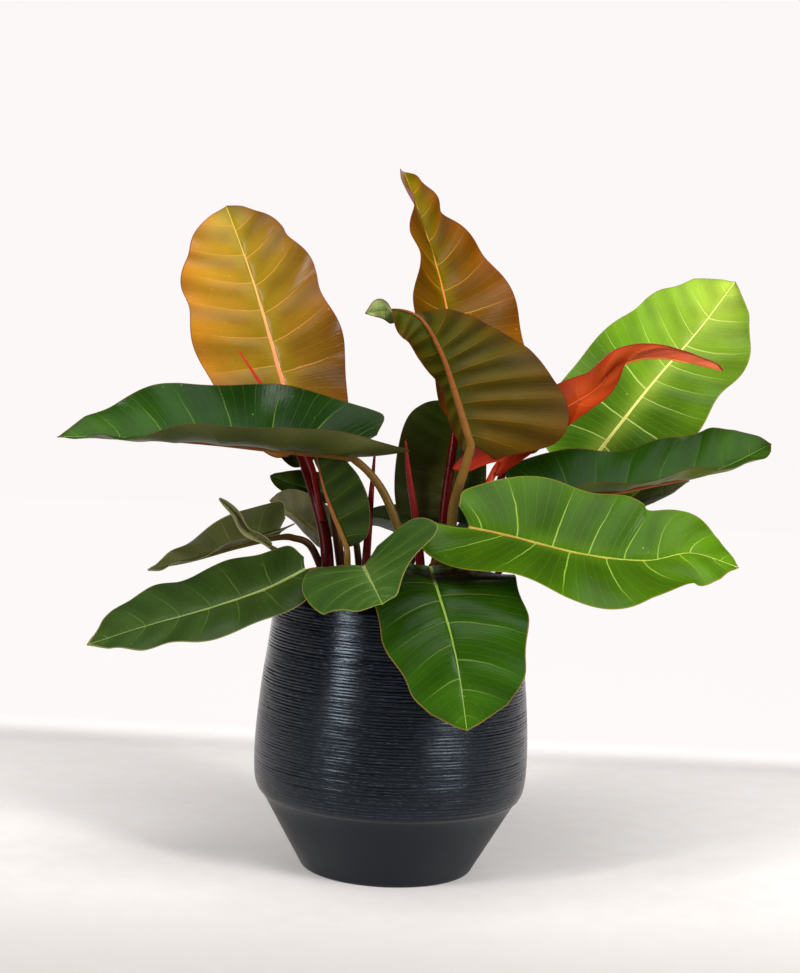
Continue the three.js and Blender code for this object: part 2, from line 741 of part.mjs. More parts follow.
// The pot's inside at a height: the outer outline less the wall
function innerRadiusAt(height) {
  const k = Math.max(1, POT_OUTLINE.findIndex((p) => p[1] >= height));
  const [lowRadius, lowHeight] = POT_OUTLINE[k - 1];
  const [highRadius, highHeight] = POT_OUTLINE[k];
  const share = (height - lowHeight) / (highHeight - lowHeight);
  return lowRadius + (highRadius - lowRadius) * share - POT_WALL;
}

function potGeometry() {
  const inner = POT_RIM_RADIUS - POT_WALL + POT_RIM_THINNING;
  const outline = [[0, 0], ...POT_OUTLINE];
  outline.push([POT_RIM_RADIUS, POT_HEIGHT - POT_RIM_BEVEL], [POT_RIM_RADIUS - POT_RIM_BEVEL, POT_HEIGHT]);
  outline.push([inner + POT_RIM_BEVEL, POT_HEIGHT], [inner, POT_HEIGHT - POT_RIM_BEVEL]);
  [...POT_INSIDE_HEIGHTS].reverse().forEach((height) => outline.push([innerRadiusAt(height), height]));
  outline.push([0, POT_INSIDE_HEIGHTS[0]]);
  return lathe(outline);
}

function soilGeometry() {
  const outline = [[0, POT_INSIDE_HEIGHTS[0] + CLEARANCE]];
  POT_INSIDE_HEIGHTS.forEach((height, k) => {
    outline.push([innerRadiusAt(height) - 2 * CLEARANCE, height + (k === 0 ? CLEARANCE : 0)]);
  });
  outline.push(SOIL_SHOULDER, [0, SOIL_CROWN_HEIGHT]);
  return lathe(outline);
}

// Plain holes in the soil for everything that stands in it
function soilWithHoles() {
  let soil = solidFrom(soilGeometry());
  const bore = (x, y, bottom, radius, sides) => {
    const wide = radius + CLEARANCE / Math.cos(Math.PI / sides);
    const ends = [new THREE.Vector3(x, y, bottom - CLEARANCE), new THREE.Vector3(x, y, bottom + BORE_REACH)];
    soil = soil.subtract(solidFrom(tubeGeometry(ends, [wide, wide], sides)));
  };
  [...LEAVES, ...SHEATHS].forEach(({ route, radii }) => {
    const [x, y] = route[0];
    bore(x, y, ROOT_DEPTH_Z, radii[0], STALK_SIDES);
  });
  Object.values(STEMS).forEach(([x, y]) => bore(x, y, STEM_BASE_Z, STEM_RADII[0], STEM_SIDES));
  return geometryOf(soil);
}

const FINISH = {
  pot: { roughness: 0.38, metalness: 0.1 },
  soil: { roughness: 0.95, metalness: 0 },
};

const plant = new THREE.Group();

function addPiece(name, geometry, colour) {
  const finish = FINISH[colour] ?? { roughness: 0.35, metalness: 0 };
  const material = new THREE.MeshStandardMaterial({ color: COLOURS[colour], ...finish });
  const mesh = new THREE.Mesh(geometry, material);
  mesh.name = name;
  plant.add(mesh);
}

addPiece("pot", potGeometry(), "pot");
addPiece("soil", soilWithHoles(), "soil");
Object.entries(STEMS).forEach(([name, [x, y]]) => {
  const points = STEM_HEIGHTS.map((z) => new THREE.Vector3(x, y, z));
  addPiece(`stem_${name}`, tubeGeometry(points, STEM_RADII, STEM_SIDES), "stem");
});
LEAVES.forEach((leaf) => {
  const form = new LeafForm(leaf);
  let stalk = stalkGeometry(form, leaf.grid[0]);
  if (leaf.name === STALK_SHEATH.stalk) {
    const sheath = solidFrom(routeTube(STALK_SHEATH, SHEATH_STEPS));
    stalk = geometryOf(solidFrom(stalk).add(sheath));
  }
  addPiece(`leaf_${leaf.name}`, bladeGeometry(form, leaf.grid), leaf.blade);
  addPiece(`petiole_${leaf.name}`, stalk, leaf.stalk);
});
SHEATHS.forEach((sheath) => addPiece(sheath.name, routeTube(sheath, SHEATH_STEPS), "crimson"));

export default plant;
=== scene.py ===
"""Looks of a philodendron with orange young leaves in its ribbed round pot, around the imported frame.

Metres, +Z up, the front towards -Y. Leaf sizes are written in millimetres, as in the model's source, and
turned into metres where a mesh is made.
"""

import math

import bpy
import numpy as np
from mathutils import Matrix, Vector


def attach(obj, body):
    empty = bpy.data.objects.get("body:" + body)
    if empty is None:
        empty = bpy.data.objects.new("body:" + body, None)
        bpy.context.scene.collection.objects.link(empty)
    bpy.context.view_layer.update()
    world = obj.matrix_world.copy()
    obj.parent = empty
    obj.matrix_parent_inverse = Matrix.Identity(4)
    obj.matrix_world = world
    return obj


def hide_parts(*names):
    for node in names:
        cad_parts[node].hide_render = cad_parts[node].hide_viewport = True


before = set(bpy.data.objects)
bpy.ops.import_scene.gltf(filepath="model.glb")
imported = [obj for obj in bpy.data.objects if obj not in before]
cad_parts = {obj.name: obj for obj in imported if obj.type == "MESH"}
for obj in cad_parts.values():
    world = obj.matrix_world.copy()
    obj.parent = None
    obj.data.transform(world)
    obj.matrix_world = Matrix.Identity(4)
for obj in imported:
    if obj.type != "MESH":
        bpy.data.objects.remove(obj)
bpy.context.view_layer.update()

MM = 0.001
SEED = 11
FULL_TURN = 2 * math.pi

# Camera, from the photograph's perspective
CAMERA_PLACE = (-0.004, -2.2, 0.606)
CAMERA_PITCH = 3.43  # degrees below the horizon
CAMERA_ROLL = 2.7
CAMERA_LENS = 65.86

# Softboxes: place, width and height in metres, power in watts
LIGHTS = {
    "above": ((0.1, -1.0, 2.9), (2.4, 1.8), 60),
    "left": ((-1.75, -1.75, 1.25), (0.26, 1.4), 48),
    "right": ((1.85, -1.7, 1.2), (0.4, 1.4), 60),
    "behind": ((0.4, 2.3, 1.7), (1.6, 1.2), 5),
}
LIGHT_AIM = (0.0, 0.0, 0.4)
WORLD_STRENGTH = 0.12
BACKDROP = (255, 251, 250)
BACKDROP_STRENGTH = 0.97
FLOOR_RADIUS = 6.0
FLOOR_SIDES = 96
FLOOR_GLOW = 0.14
# Distances behind the pot, and around it, between which the floor turns into the white backdrop
FLOOR_FADE_BEHIND = (0.6, 0.85)
FLOOR_FADE_AROUND = (1.3, 2.2)

# Blades. Half widths are given at STATIONS, as shares of the length
STATIONS = np.array([0, 0.1, 0.25, 0.45, 0.65, 0.82, 0.94, 1])
EDGE_SWEEP = np.array([0, -0.04, 0.03, 0.11, 0.12, 0.08, 0.035, 0])
LOBE_SHARE = np.array([0.55, 1, 0.6, 0.2, 0, 0, 0, 0])
BLADE_THICKNESS = 1.2
EDGE_THICKNESS = 0.7
TIP_HALF_WIDTH = 0.8
LEAST_HALF_WIDTH = 0.3
POINT_START = 0.84  # share of the length where a pointed tip starts to narrow
VEIN_BEND = 1.5
WAVE_FADE = 3  # the waves die away over the last third of the blade
WAVE_FLARE = 0.6  # how far the edge swings out and in, as a share of a wave's height
SPINE_STEPS = 400
TANGENT_STEP = 1e-3
LEAST_CURL = 1e-3
QUILT_HEIGHT = 2.5
CHANNEL_DEPTH = 0.8
CHANNEL_WIDTH = 3.2
EDGE_RIPPLE = 1.1
ROW_SPACING = 2.6
COLUMN_SPACING = 3.6
EDGE_INSET = 0.8

# Lateral veins, midrib and margin, drawn on a blade
VEIN_WIDTH = 1.25
VEIN_WIDTH_AT_EDGE = 0.45
FINE_VEINS = 5
FINE_VEIN_WIDTH = 0.5
STRIPES = 14
RIB_HALF_WIDTH = 2.7
RIB_HALF_WIDTH_AT_TIP = 0.6
HEM_WIDTH = 1.0

# Stalks, and the midribs that they end in
ROOT_Z = 300
COLLAR_Z = 318
MIDRIB_END = 0.87
MIDRIB_START_SHARE = 0.85
MIDRIB_TAPER = 0.75
MIDRIB_CLEARANCE = 0.35
MIDRIB_STEPS = 46
MIDRIB_TIP_RADIUS = 0.4
STALK_STEPS = 44
SHEATH_STEPS = 60
SHEATH_TIP_RADIUS = 0.3
TUBE_SIDES = 20
STALK_ROUGHNESS = 0.28

# Pot
POT_OUTLINE = [
    (106, 0), (110.5, 8), (133, 47), (155.5, 86), (163, 95), (167.5, 106), (169.5, 122), (170, 145),
    (169, 174), (166.5, 207), (163.5, 238), (159, 272), (155, 306), (151.5, 332),
]
POT_HEIGHT = 345
# Rounded lip and inside wall, as distances from the rim's radius, and their heights
POT_LIP = [
    (1.6, 336), (0.6, 339.5), (-0.2, 342.2), (-1.4, 344.2), (-3, 345), (-6, 345), (-7.8, 344.2),
    (-8.8, 342.4), (-9.2, 339), (-8.5, 332), (-4.8, 306), (-8, 280), (-148.5, 279),
]
POT_RIM_RADIUS = 149
POT_SEGMENTS = 256
RIB_PITCH = 3.8
RIB_DEPTH = 0.7
RIB_START_Z = 90
RIB_END_Z = 341
RIB_ROW_SPACING = 0.85
RIB_WOBBLE = 0.24
RIB_BREAKS = 14  # places round each groove where it is nearly filled

# Soil, bark and stems
SOIL_EDGE_HEIGHT = 309
SOIL_CROWN_HEIGHT = 314
SOIL_EDGE_RADIUS = 144
SOIL_SINK = 2  # how far the middle of the crumbs lies under those heights
SOIL_RADIUS = 143.4
SOIL_TAPER = 0.985
SOIL_RINGS = 60
SOIL_SEGMENTS = 160
SOIL_FLOOR_Z = 284
LUMP_HEIGHT = 1.5
CRUMB_HEIGHT = 0.6
CHIPS = 420
CHIP_SPREAD = 138
CHIP_LIFT = 1.6  # the most that a chip's middle lies above the crumbs' middle
CHIP_TILT = 0.45  # the most that a chip leans, in radians
CHIP_SIZES = [(4, 11), (3, 6), (1.2, 2.8)]  # length, width and thickness, from and to
CHIP_SIDES = 7
CHIP_LAYERS = [(0.7, -0.5), (1, -0.25), (1, 0.25), (0.72, 0.5)]  # size, height as a share of the thickness
STEMS = {"left": (-62, 8), "right": (48, 8), "back": (-4, 38)}
STEM_HEIGHTS = [295, 320, 345]
STEM_RADII = [13, 13, 9]
STEM_STEPS = 60
SCAR_SPACING = 8.5


def pair(given):
    """The settings for a leaf's left and right half, which are the same unless a tuple gives two."""
    return given if isinstance(given, tuple) else (given, given)


def leaf(
    name, blade, stalk, look, veins, *, spine, face, left, right=None, lobe, fold, curl=0, wave=None,
    bend=VEIN_BEND, sweep=1, route, radii,
):
    """A leaf's row in the table."""
    return {
        "name": name, "blade": blade, "stalk": stalk, "look": look, "veins": veins, "spine": spine,
        "face": face, "widths": (left, right or left), "lobe": pair(lobe), "fold": pair(fold),
        "curl": pair(curl), "wave": pair(wave or [0, 0, 0]), "bend": bend, "sweep": sweep, "route": route,
        "radii": radii,
    }


# Name, blade finish, stalk finish, blade colours and number of side veins, then the form. "spine" runs from
# base to tip, "face" is the way the upper side looks, "left" and "right" are half widths, "fold" and "curl"
# are degrees, "wave" is height, count and start, and "route" is the stalk's path above its root in the soil
LEAVES = [
    leaf(
        "upper_left", "golden", "crimson", "golden", 8,
        spine=[[-133, 40, 516], [-164, 60, 611], [-202, 85, 718], [-229, 105, 782], [-246, 125, 819]],
        face=[[0.05, -1, 0.25], [0, -1, 0.35]],
        left=[18, 42, 84, 93, 82, 56, 26], right=[20, 55, 85, 83, 68, 46, 22],
        lobe=0.06, fold=[8, 4], curl=(-6, [-20, -6]), wave=([6, 4.5, 0.2], [6, 4.5, 0.5]),
        route=[[-86, -2, 335], [-93, 6, 400], [-110, 19, 458]], radii=[8, 8, 7.5, 7],
    ),
    leaf(
        "top", "copper", "crimson", "copper", 9,
        spine=[[66, 48, 576], [50, 62, 672], [31, 76, 745], [5, 88, 816], [-18, 100, 872]],
        face=[[0.25, -1, 0.2], [0.35, -1, 0.2], [0.5, -1, 0.3]],
        left=[10, 26, 54, 64, 64, 60, 40], right=[22, 66, 100, 78, 40, 28, 18],
        lobe=0.08, fold=([30, 30, 55, 50], 0), curl=(5, 0), wave=([6, 4, 0.35], [6, 5, 0.2]),
        route=[[58, 30, 335], [53, 34, 430], [60, 40, 520]], radii=[6.5, 6.5, 6, 5.5],
    ),
    leaf(
        "arching", "olive", "tan", "olive", 12,
        spine=[
            [78, -40, 533], [54, -62, 599], [35, -85, 643], [9, -105, 679], [-24, -108, 687],
            [-54, -112, 681],
        ],
        face=[[-0.2, 1, 0.1], [-0.2, 1, 0.1], [-0.2, 1, -0.1], [-0.3, 0.9, -0.4], [0, -0.9, -0.4]],
        bend=1.2, sweep=0.1,
        left=[25, 108, 132, 92, 44, 22, 10], right=[14, 22, 20, 24, 30, 32, 16],
        lobe=(0.26, 0.1), fold=([5, 5, 10, 40, 50], [60, 50, 30, 0, 0]),
        curl=([0, 0, 20, 50, 20], [10, 10, 10, 0, 0]), wave=([5, 4.5, 0.2], [3, 4, 0]),
        route=[[68, -6, 335], [62, -15, 440], [72, -32, 496]], radii=[6.5, 6.5, 6, 5.5],
    ),
    leaf(
        "left", "green", "tan", "left", 8,
        spine=[[-64, -30, 513], [-148, -60, 517], [-232, -85, 522], [-313, -100, 523], [-409, -110, 520]],
        face=[[-0.05, -0.3, 1], [0, -0.25, 1], [0, -0.1, 1]],
        left=[25, 65, 84, 86, 72, 46, 22], right=[25, 62, 80, 78, 60, 32, 15],
        lobe=(0.2, 0.17), fold=([-5, 0, 0, 5], [35, 40, 40, 40]), curl=([60, 70, 20, 0], [20, 20, 0]),
        wave=([4, 4, 0.2], [6, 3.5, 0.1]),
        route=[[14, 20, 335], [4, -6, 400], [-26, -16, 470]], radii=[6.5, 6.5, 5.5, 5],
    ),
    leaf(
        "upper_right", "lime", "crimson", "upper_right", 9,
        spine=[[230, 75, 501], [251, 80, 530], [315, 98, 617], [374, 118, 689], [421, 140, 754]],
        face=[[-0.15, -1, 0.2], [-0.1, -1, 0.3]],
        left=[24, 66, 94, 88, 72, 48, 24], right=[24, 62, 82, 80, 72, 42, 18],
        lobe=0.06, fold=5, curl=-5, wave=([4, 4.5, 0.2], [5, 4, 0.6]),
        route=[[74, 42, 335], [140, 52, 420], [196, 64, 474]], radii=[6.5, 6.5, 5.5, 5],
    ),
    leaf(
        "right", "dark", "tan", "right", 8,
        spine=[[141, 0, 474], [243, -10, 480], [305, -17, 493], [381, -20, 513], [448, -17, 548]],
        face=[[0, -0.3, 1], [-0.1, -0.3, 1], [-0.3, -0.5, 1]],
        left=[20, 44, 60, 58, 60, 44, 22], right=[20, 34, 44, 50, 48, 38, 18],
        lobe=0.08, fold=([35, 35, 30, 30], [0, 5, 10, 0]), curl=([10, 5], [40, 45, 45, -20]),
        wave=([4, 4, 0.2], [5, 4, 0]),
        route=[[84, -4, 335], [106, -16, 420]], radii=[6, 6, 5],
    ),
    leaf(
        "right_front", "lime", "flame", "right_front", 8,
        spine=[
            [80, -85, 434], [126, -95, 427], [216, -115, 411], [289, -122, 408], [341, -120, 419],
            [399, -112, 404],
        ],
        face=[[0.1, -0.75, 0.75], [0.05, -0.6, 0.75]],
        left=[22, 54, 84, 84, 62, 34, 22], right=[25, 60, 92, 84, 60, 40, 18],
        lobe=(0.1, 0.2), fold=([22, 12], [30, 14, 12]), curl=(-6, [-12, -6]),
        wave=([5, 4, 0.2], [10, 3.4, 0.28]),
        route=[[58, -16, 335], [68, -50, 405]], radii=[6, 6, 5],
    ),
    leaf(
        "front", "green", "umber", "front", 8,
        spine=[[37, -60, 383], [44, -150, 368], [60, -190, 325], [72, -210, 281], [84, -225, 217]],
        face=[[0, -0.1, 1], [0, -0.6, 0.8], [0, -1, 0.2]],
        left=[25, 66, 94, 92, 76, 54, 26], right=[22, 58, 78, 78, 62, 42, 22],
        lobe=0.06, fold=5, curl=[-10, -5], wave=([4, 4, 0.2], [4, 4, 0]),
        route=[[42, -18, 340], [50, -26, 380], [45, -38, 386]], radii=[5.5, 5.5, 5, 5],
    ),
    leaf(
        "front_small", "green", "tan", "front_small", 7,
        spine=[[-42, -148, 389], [-34, -198, 381], [-25, -244, 372], [-17, -288, 363]],
        face=[[-0.1, -0.25, 1], [-0.1, -0.6, 1]],
        left=[24, 78, 98, 56, 30, 16, 8], right=[20, 60, 80, 66, 46, 30, 16],
        lobe=0.35, fold=([35, 25, 0], [5, -5, 0]), curl=([-10, 0], [-40, -30]),
        wave=([4, 2, 0.2], [4, 2, 0]),
        route=[[-22, -8, 325], [-38, -74, 376]], radii=[5, 5, 4],
    ),
    leaf(
        "left_front", "green", "tan", "left_front", 7,
        spine=[
            [-112, -84, 375], [-157, -104, 351], [-223, -125, 327], [-291, -140, 306], [-358, -150, 282],
        ],
        face=[[-0.1, -0.55, 0.85], [-0.1, -0.5, 0.85]],
        left=[14, 34, 50, 52, 40, 22, 9], right=[16, 46, 62, 60, 52, 34, 16],
        lobe=0.05, fold=(5, 10), curl=([-20, -5], -5), wave=([3, 4, 0.2], [3, 4, 0]),
        route=[[-76, -14, 330], [-84, -48, 368]], radii=[5, 5, 4.5],
    ),
    leaf(
        "left_low", "grey", "umber", "grey", 6,
        spine=[[-151, 0, 408], [-204, -15, 392], [-257, -25, 373], [-308, -30, 360]],
        face=[[0, -0.1, 1], [0, -0.2, 1]],
        left=[14, 34, 40, 34, 24, 14, 7], right=[16, 42, 46, 34, 24, 14, 7],
        lobe=0.15, fold=([40, 20], [50, 20]), curl=([-30, -10], [20, 0]), wave=([3, 3, 0.2], [3, 3, 0]),
        route=[[-86, 16, 335], [-110, 8, 392], [-134, 2, 404]], radii=[5, 5, 4.5, 4],
    ),
    leaf(
        "curled", "grey", "umber", "pale", 5,
        spine=[[-158, -55, 398], [-180, -60, 413], [-197, -64, 434], [-220, -68, 454]],
        face=[[-0.5, -0.6, 0.5], [-0.5, -0.6, 0.5]],
        left=[5, 10, 12, 12, 10, 8, 4],
        lobe=0.02, fold=60, curl=20,
        route=[[-100, -20, 335], [-132, -32, 378]], radii=[3.5, 3.5, 3],
    ),
    leaf(
        "left_grey", "grey", "umber", "grey", 5,
        spine=[[-92, 44, 399], [-116, 52, 416], [-141, 64, 432], [-170, 80, 443]],
        face=[[-0.1, 0.8, 0.5], [0.2, 0.8, 0.5]],
        left=[12, 28, 34, 32, 25, 15, 7], right=[12, 26, 32, 30, 24, 15, 7],
        lobe=0.05, fold=20, curl=10,
        route=[[-84, 50, 345]], radii=[4, 4],
    ),
    leaf(
        "left_back", "dark", "umber", "dark", 5,
        spine=[[-83, 80, 455], [-117, 88, 460], [-146, 95, 466], [-172, 103, 474]],
        face=[[-0.1, -0.6, 0.7], [0, -0.6, 0.7]],
        left=[10, 22, 28, 26, 20, 13, 6], right=[10, 20, 26, 24, 17, 10, 5],
        lobe=0.05, fold=10,
        route=[[-48, 52, 340], [-60, 68, 410]], radii=[4.5, 4.5, 4],
    ),
    leaf(
        "centre_olive", "olive", "tan", "centre_olive", 6,
        spine=[[-64, -26, 398], [-84, -18, 438], [-98, -12, 471], [-107, -8, 505], [-110, -6, 527]],
        face=[[0.3, 1, 0.2], [0.3, 1, 0.3]],
        left=[14, 32, 48, 48, 36, 22, 10], right=[8, 14, 18, 20, 14, 10, 6],
        lobe=0.03, fold=(0, 60),
        route=[[-58, -16, 340], [-63, -32, 372]], radii=[5, 5, 4],
    ),
    leaf(
        "centre_dark", "dark", "umber", "dark", 7,
        spine=[[53, 66, 430], [56, 76, 482], [60, 88, 528], [67, 110, 580]],
        face=[[0.1, -1, 0.2], [0.1, -1, 0.3]],
        left=[44, 60, 68, 68, 62, 48, 28], right=[34, 46, 50, 46, 36, 24, 12],
        lobe=0.03, fold=(5, 15),
        route=[[38, 30, 335], [46, 50, 390]], radii=[5, 5, 4.5],
    ),
    leaf(
        "orange_young", "flame", "flame", "flame", 9,
        spine=[
            [119, 20, 509], [184, 15, 571], [229, 15, 602], [264, 18, 638], [313, 20, 649], [391, 25, 636],
        ],
        face=[[0.3, -0.8, 0.5], [0.3, -0.9, 0.4], [0.2, -0.6, 0.8], [0, 0.2, 1]],
        left=[18, 40, 44, 25, 15, 11, 7], right=[10, 18, 28, 28, 15, 11, 7],
        lobe=(0.2, 0.08), fold=[20, 30, 60, 60], curl=20,
        route=[[71, 9, 335], [90, 10, 440], [104, 12, 478]], radii=[6, 6, 5, 4.5],
    ),
    leaf(
        "right_low", "grey", "umber", "grey", 6,
        spine=[[201, 60, 437], [266, 70, 450], [323, 78, 471], [367, 85, 494]],
        face=[[0, -0.3, 1], [0, -0.1, 1]],
        left=[20, 35, 40, 40, 30, 16, 7],
        lobe=0.05, fold=([30, 40], 10),
        route=[[100, 12, 335], [150, 36, 400]], radii=[4, 4, 3.5],
    ),
    leaf(
        "back_low", "dark", "umber", "dark", 6,
        spine=[[31, 80, 408], [9, 105, 417], [-18, 135, 421], [-60, 170, 424]],
        face=[[0.1, -0.5, 0.8], [0.1, -0.5, 0.8]],
        left=[20, 32, 38, 38, 30, 20, 10],
        lobe=0.05, fold=10,
        route=[[8, 60, 340], [18, 72, 380]], radii=[4, 4, 3.5],
    ),
    leaf(
        "back_left", "dark", "umber", "dark", 7,
        spine=[[-112, 84, 505], [-138, 130, 560], [-170, 190, 592], [-205, 250, 598]],
        face=[[0, -0.4, 1], [0, 0.1, 1]],
        left=[14, 44, 60, 62, 54, 36, 17],
        lobe=0.15, fold=15, curl=-10, wave=([3, 4, 0.2], [3, 4, 0]),
        route=[[-68, 31, 335], [-79, 27, 400], [-92, 46, 462]], radii=[6, 6, 5.5, 5],
    ),
    leaf(
        "back_centre", "dark", "crimson", "dark", 7,
        spine=[[138, 98, 526], [148, 160, 568], [161, 222, 594], [174, 285, 598]],
        face=[[0, -0.5, 1], [0, 0, 1]],
        left=[12, 34, 46, 46, 40, 26, 12],
        lobe=0.15, fold=15, curl=-10, wave=([3, 4, 0.2], [3, 4, 0]),
        route=[[84, 24, 335], [104, 38, 420], [126, 62, 494]], radii=[6, 6, 5, 4.5],
    ),
    leaf(
        "back_right", "dark", "umber", "dark", 7,
        spine=[[112, 98, 412], [158, 142, 438], [210, 192, 450], [262, 242, 434]],
        face=[[-0.2, -0.4, 1], [0, 0, 1]],
        left=[14, 40, 56, 58, 50, 32, 15],
        lobe=0.15, fold=15, curl=-10, wave=([3, 4, 0.2], [3, 4, 0]),
        route=[[58, 58, 340], [84, 76, 385]], radii=[5, 5, 4.5],
    ),
]

SHEATHS = [
    {
        "name": "left_sheath",
        "node": "sheath_left",
        "route": [[-40, 4, 300], [-40, 4, 318], [-42, 4, 360], [-40, 8, 440], [-37, 10, 520]],
        "radii": [6, 6, 6, 4.5, 1.2],
    },
    {
        "name": "centre_sheath",
        "node": "sheath_centre",
        "route": [
            [30, -12, 300], [30, -12, 318], [30, -12, 340], [20, -20, 420], [6, -26, 492], [0, -30, 533],
        ],
        "radii": [6.5, 6.5, 6.5, 5.5, 3.5, 1.2],
    },
]
STALK_SHEATH = {
    "stalk": "upper_left",
    "route": [[-98, 2, 425], [-118, 15, 500], [-160, 20, 560], [-214, 30, 634]],
    "radii": [4.5, 4, 3.2, 1],
    "palette": "ember",
}

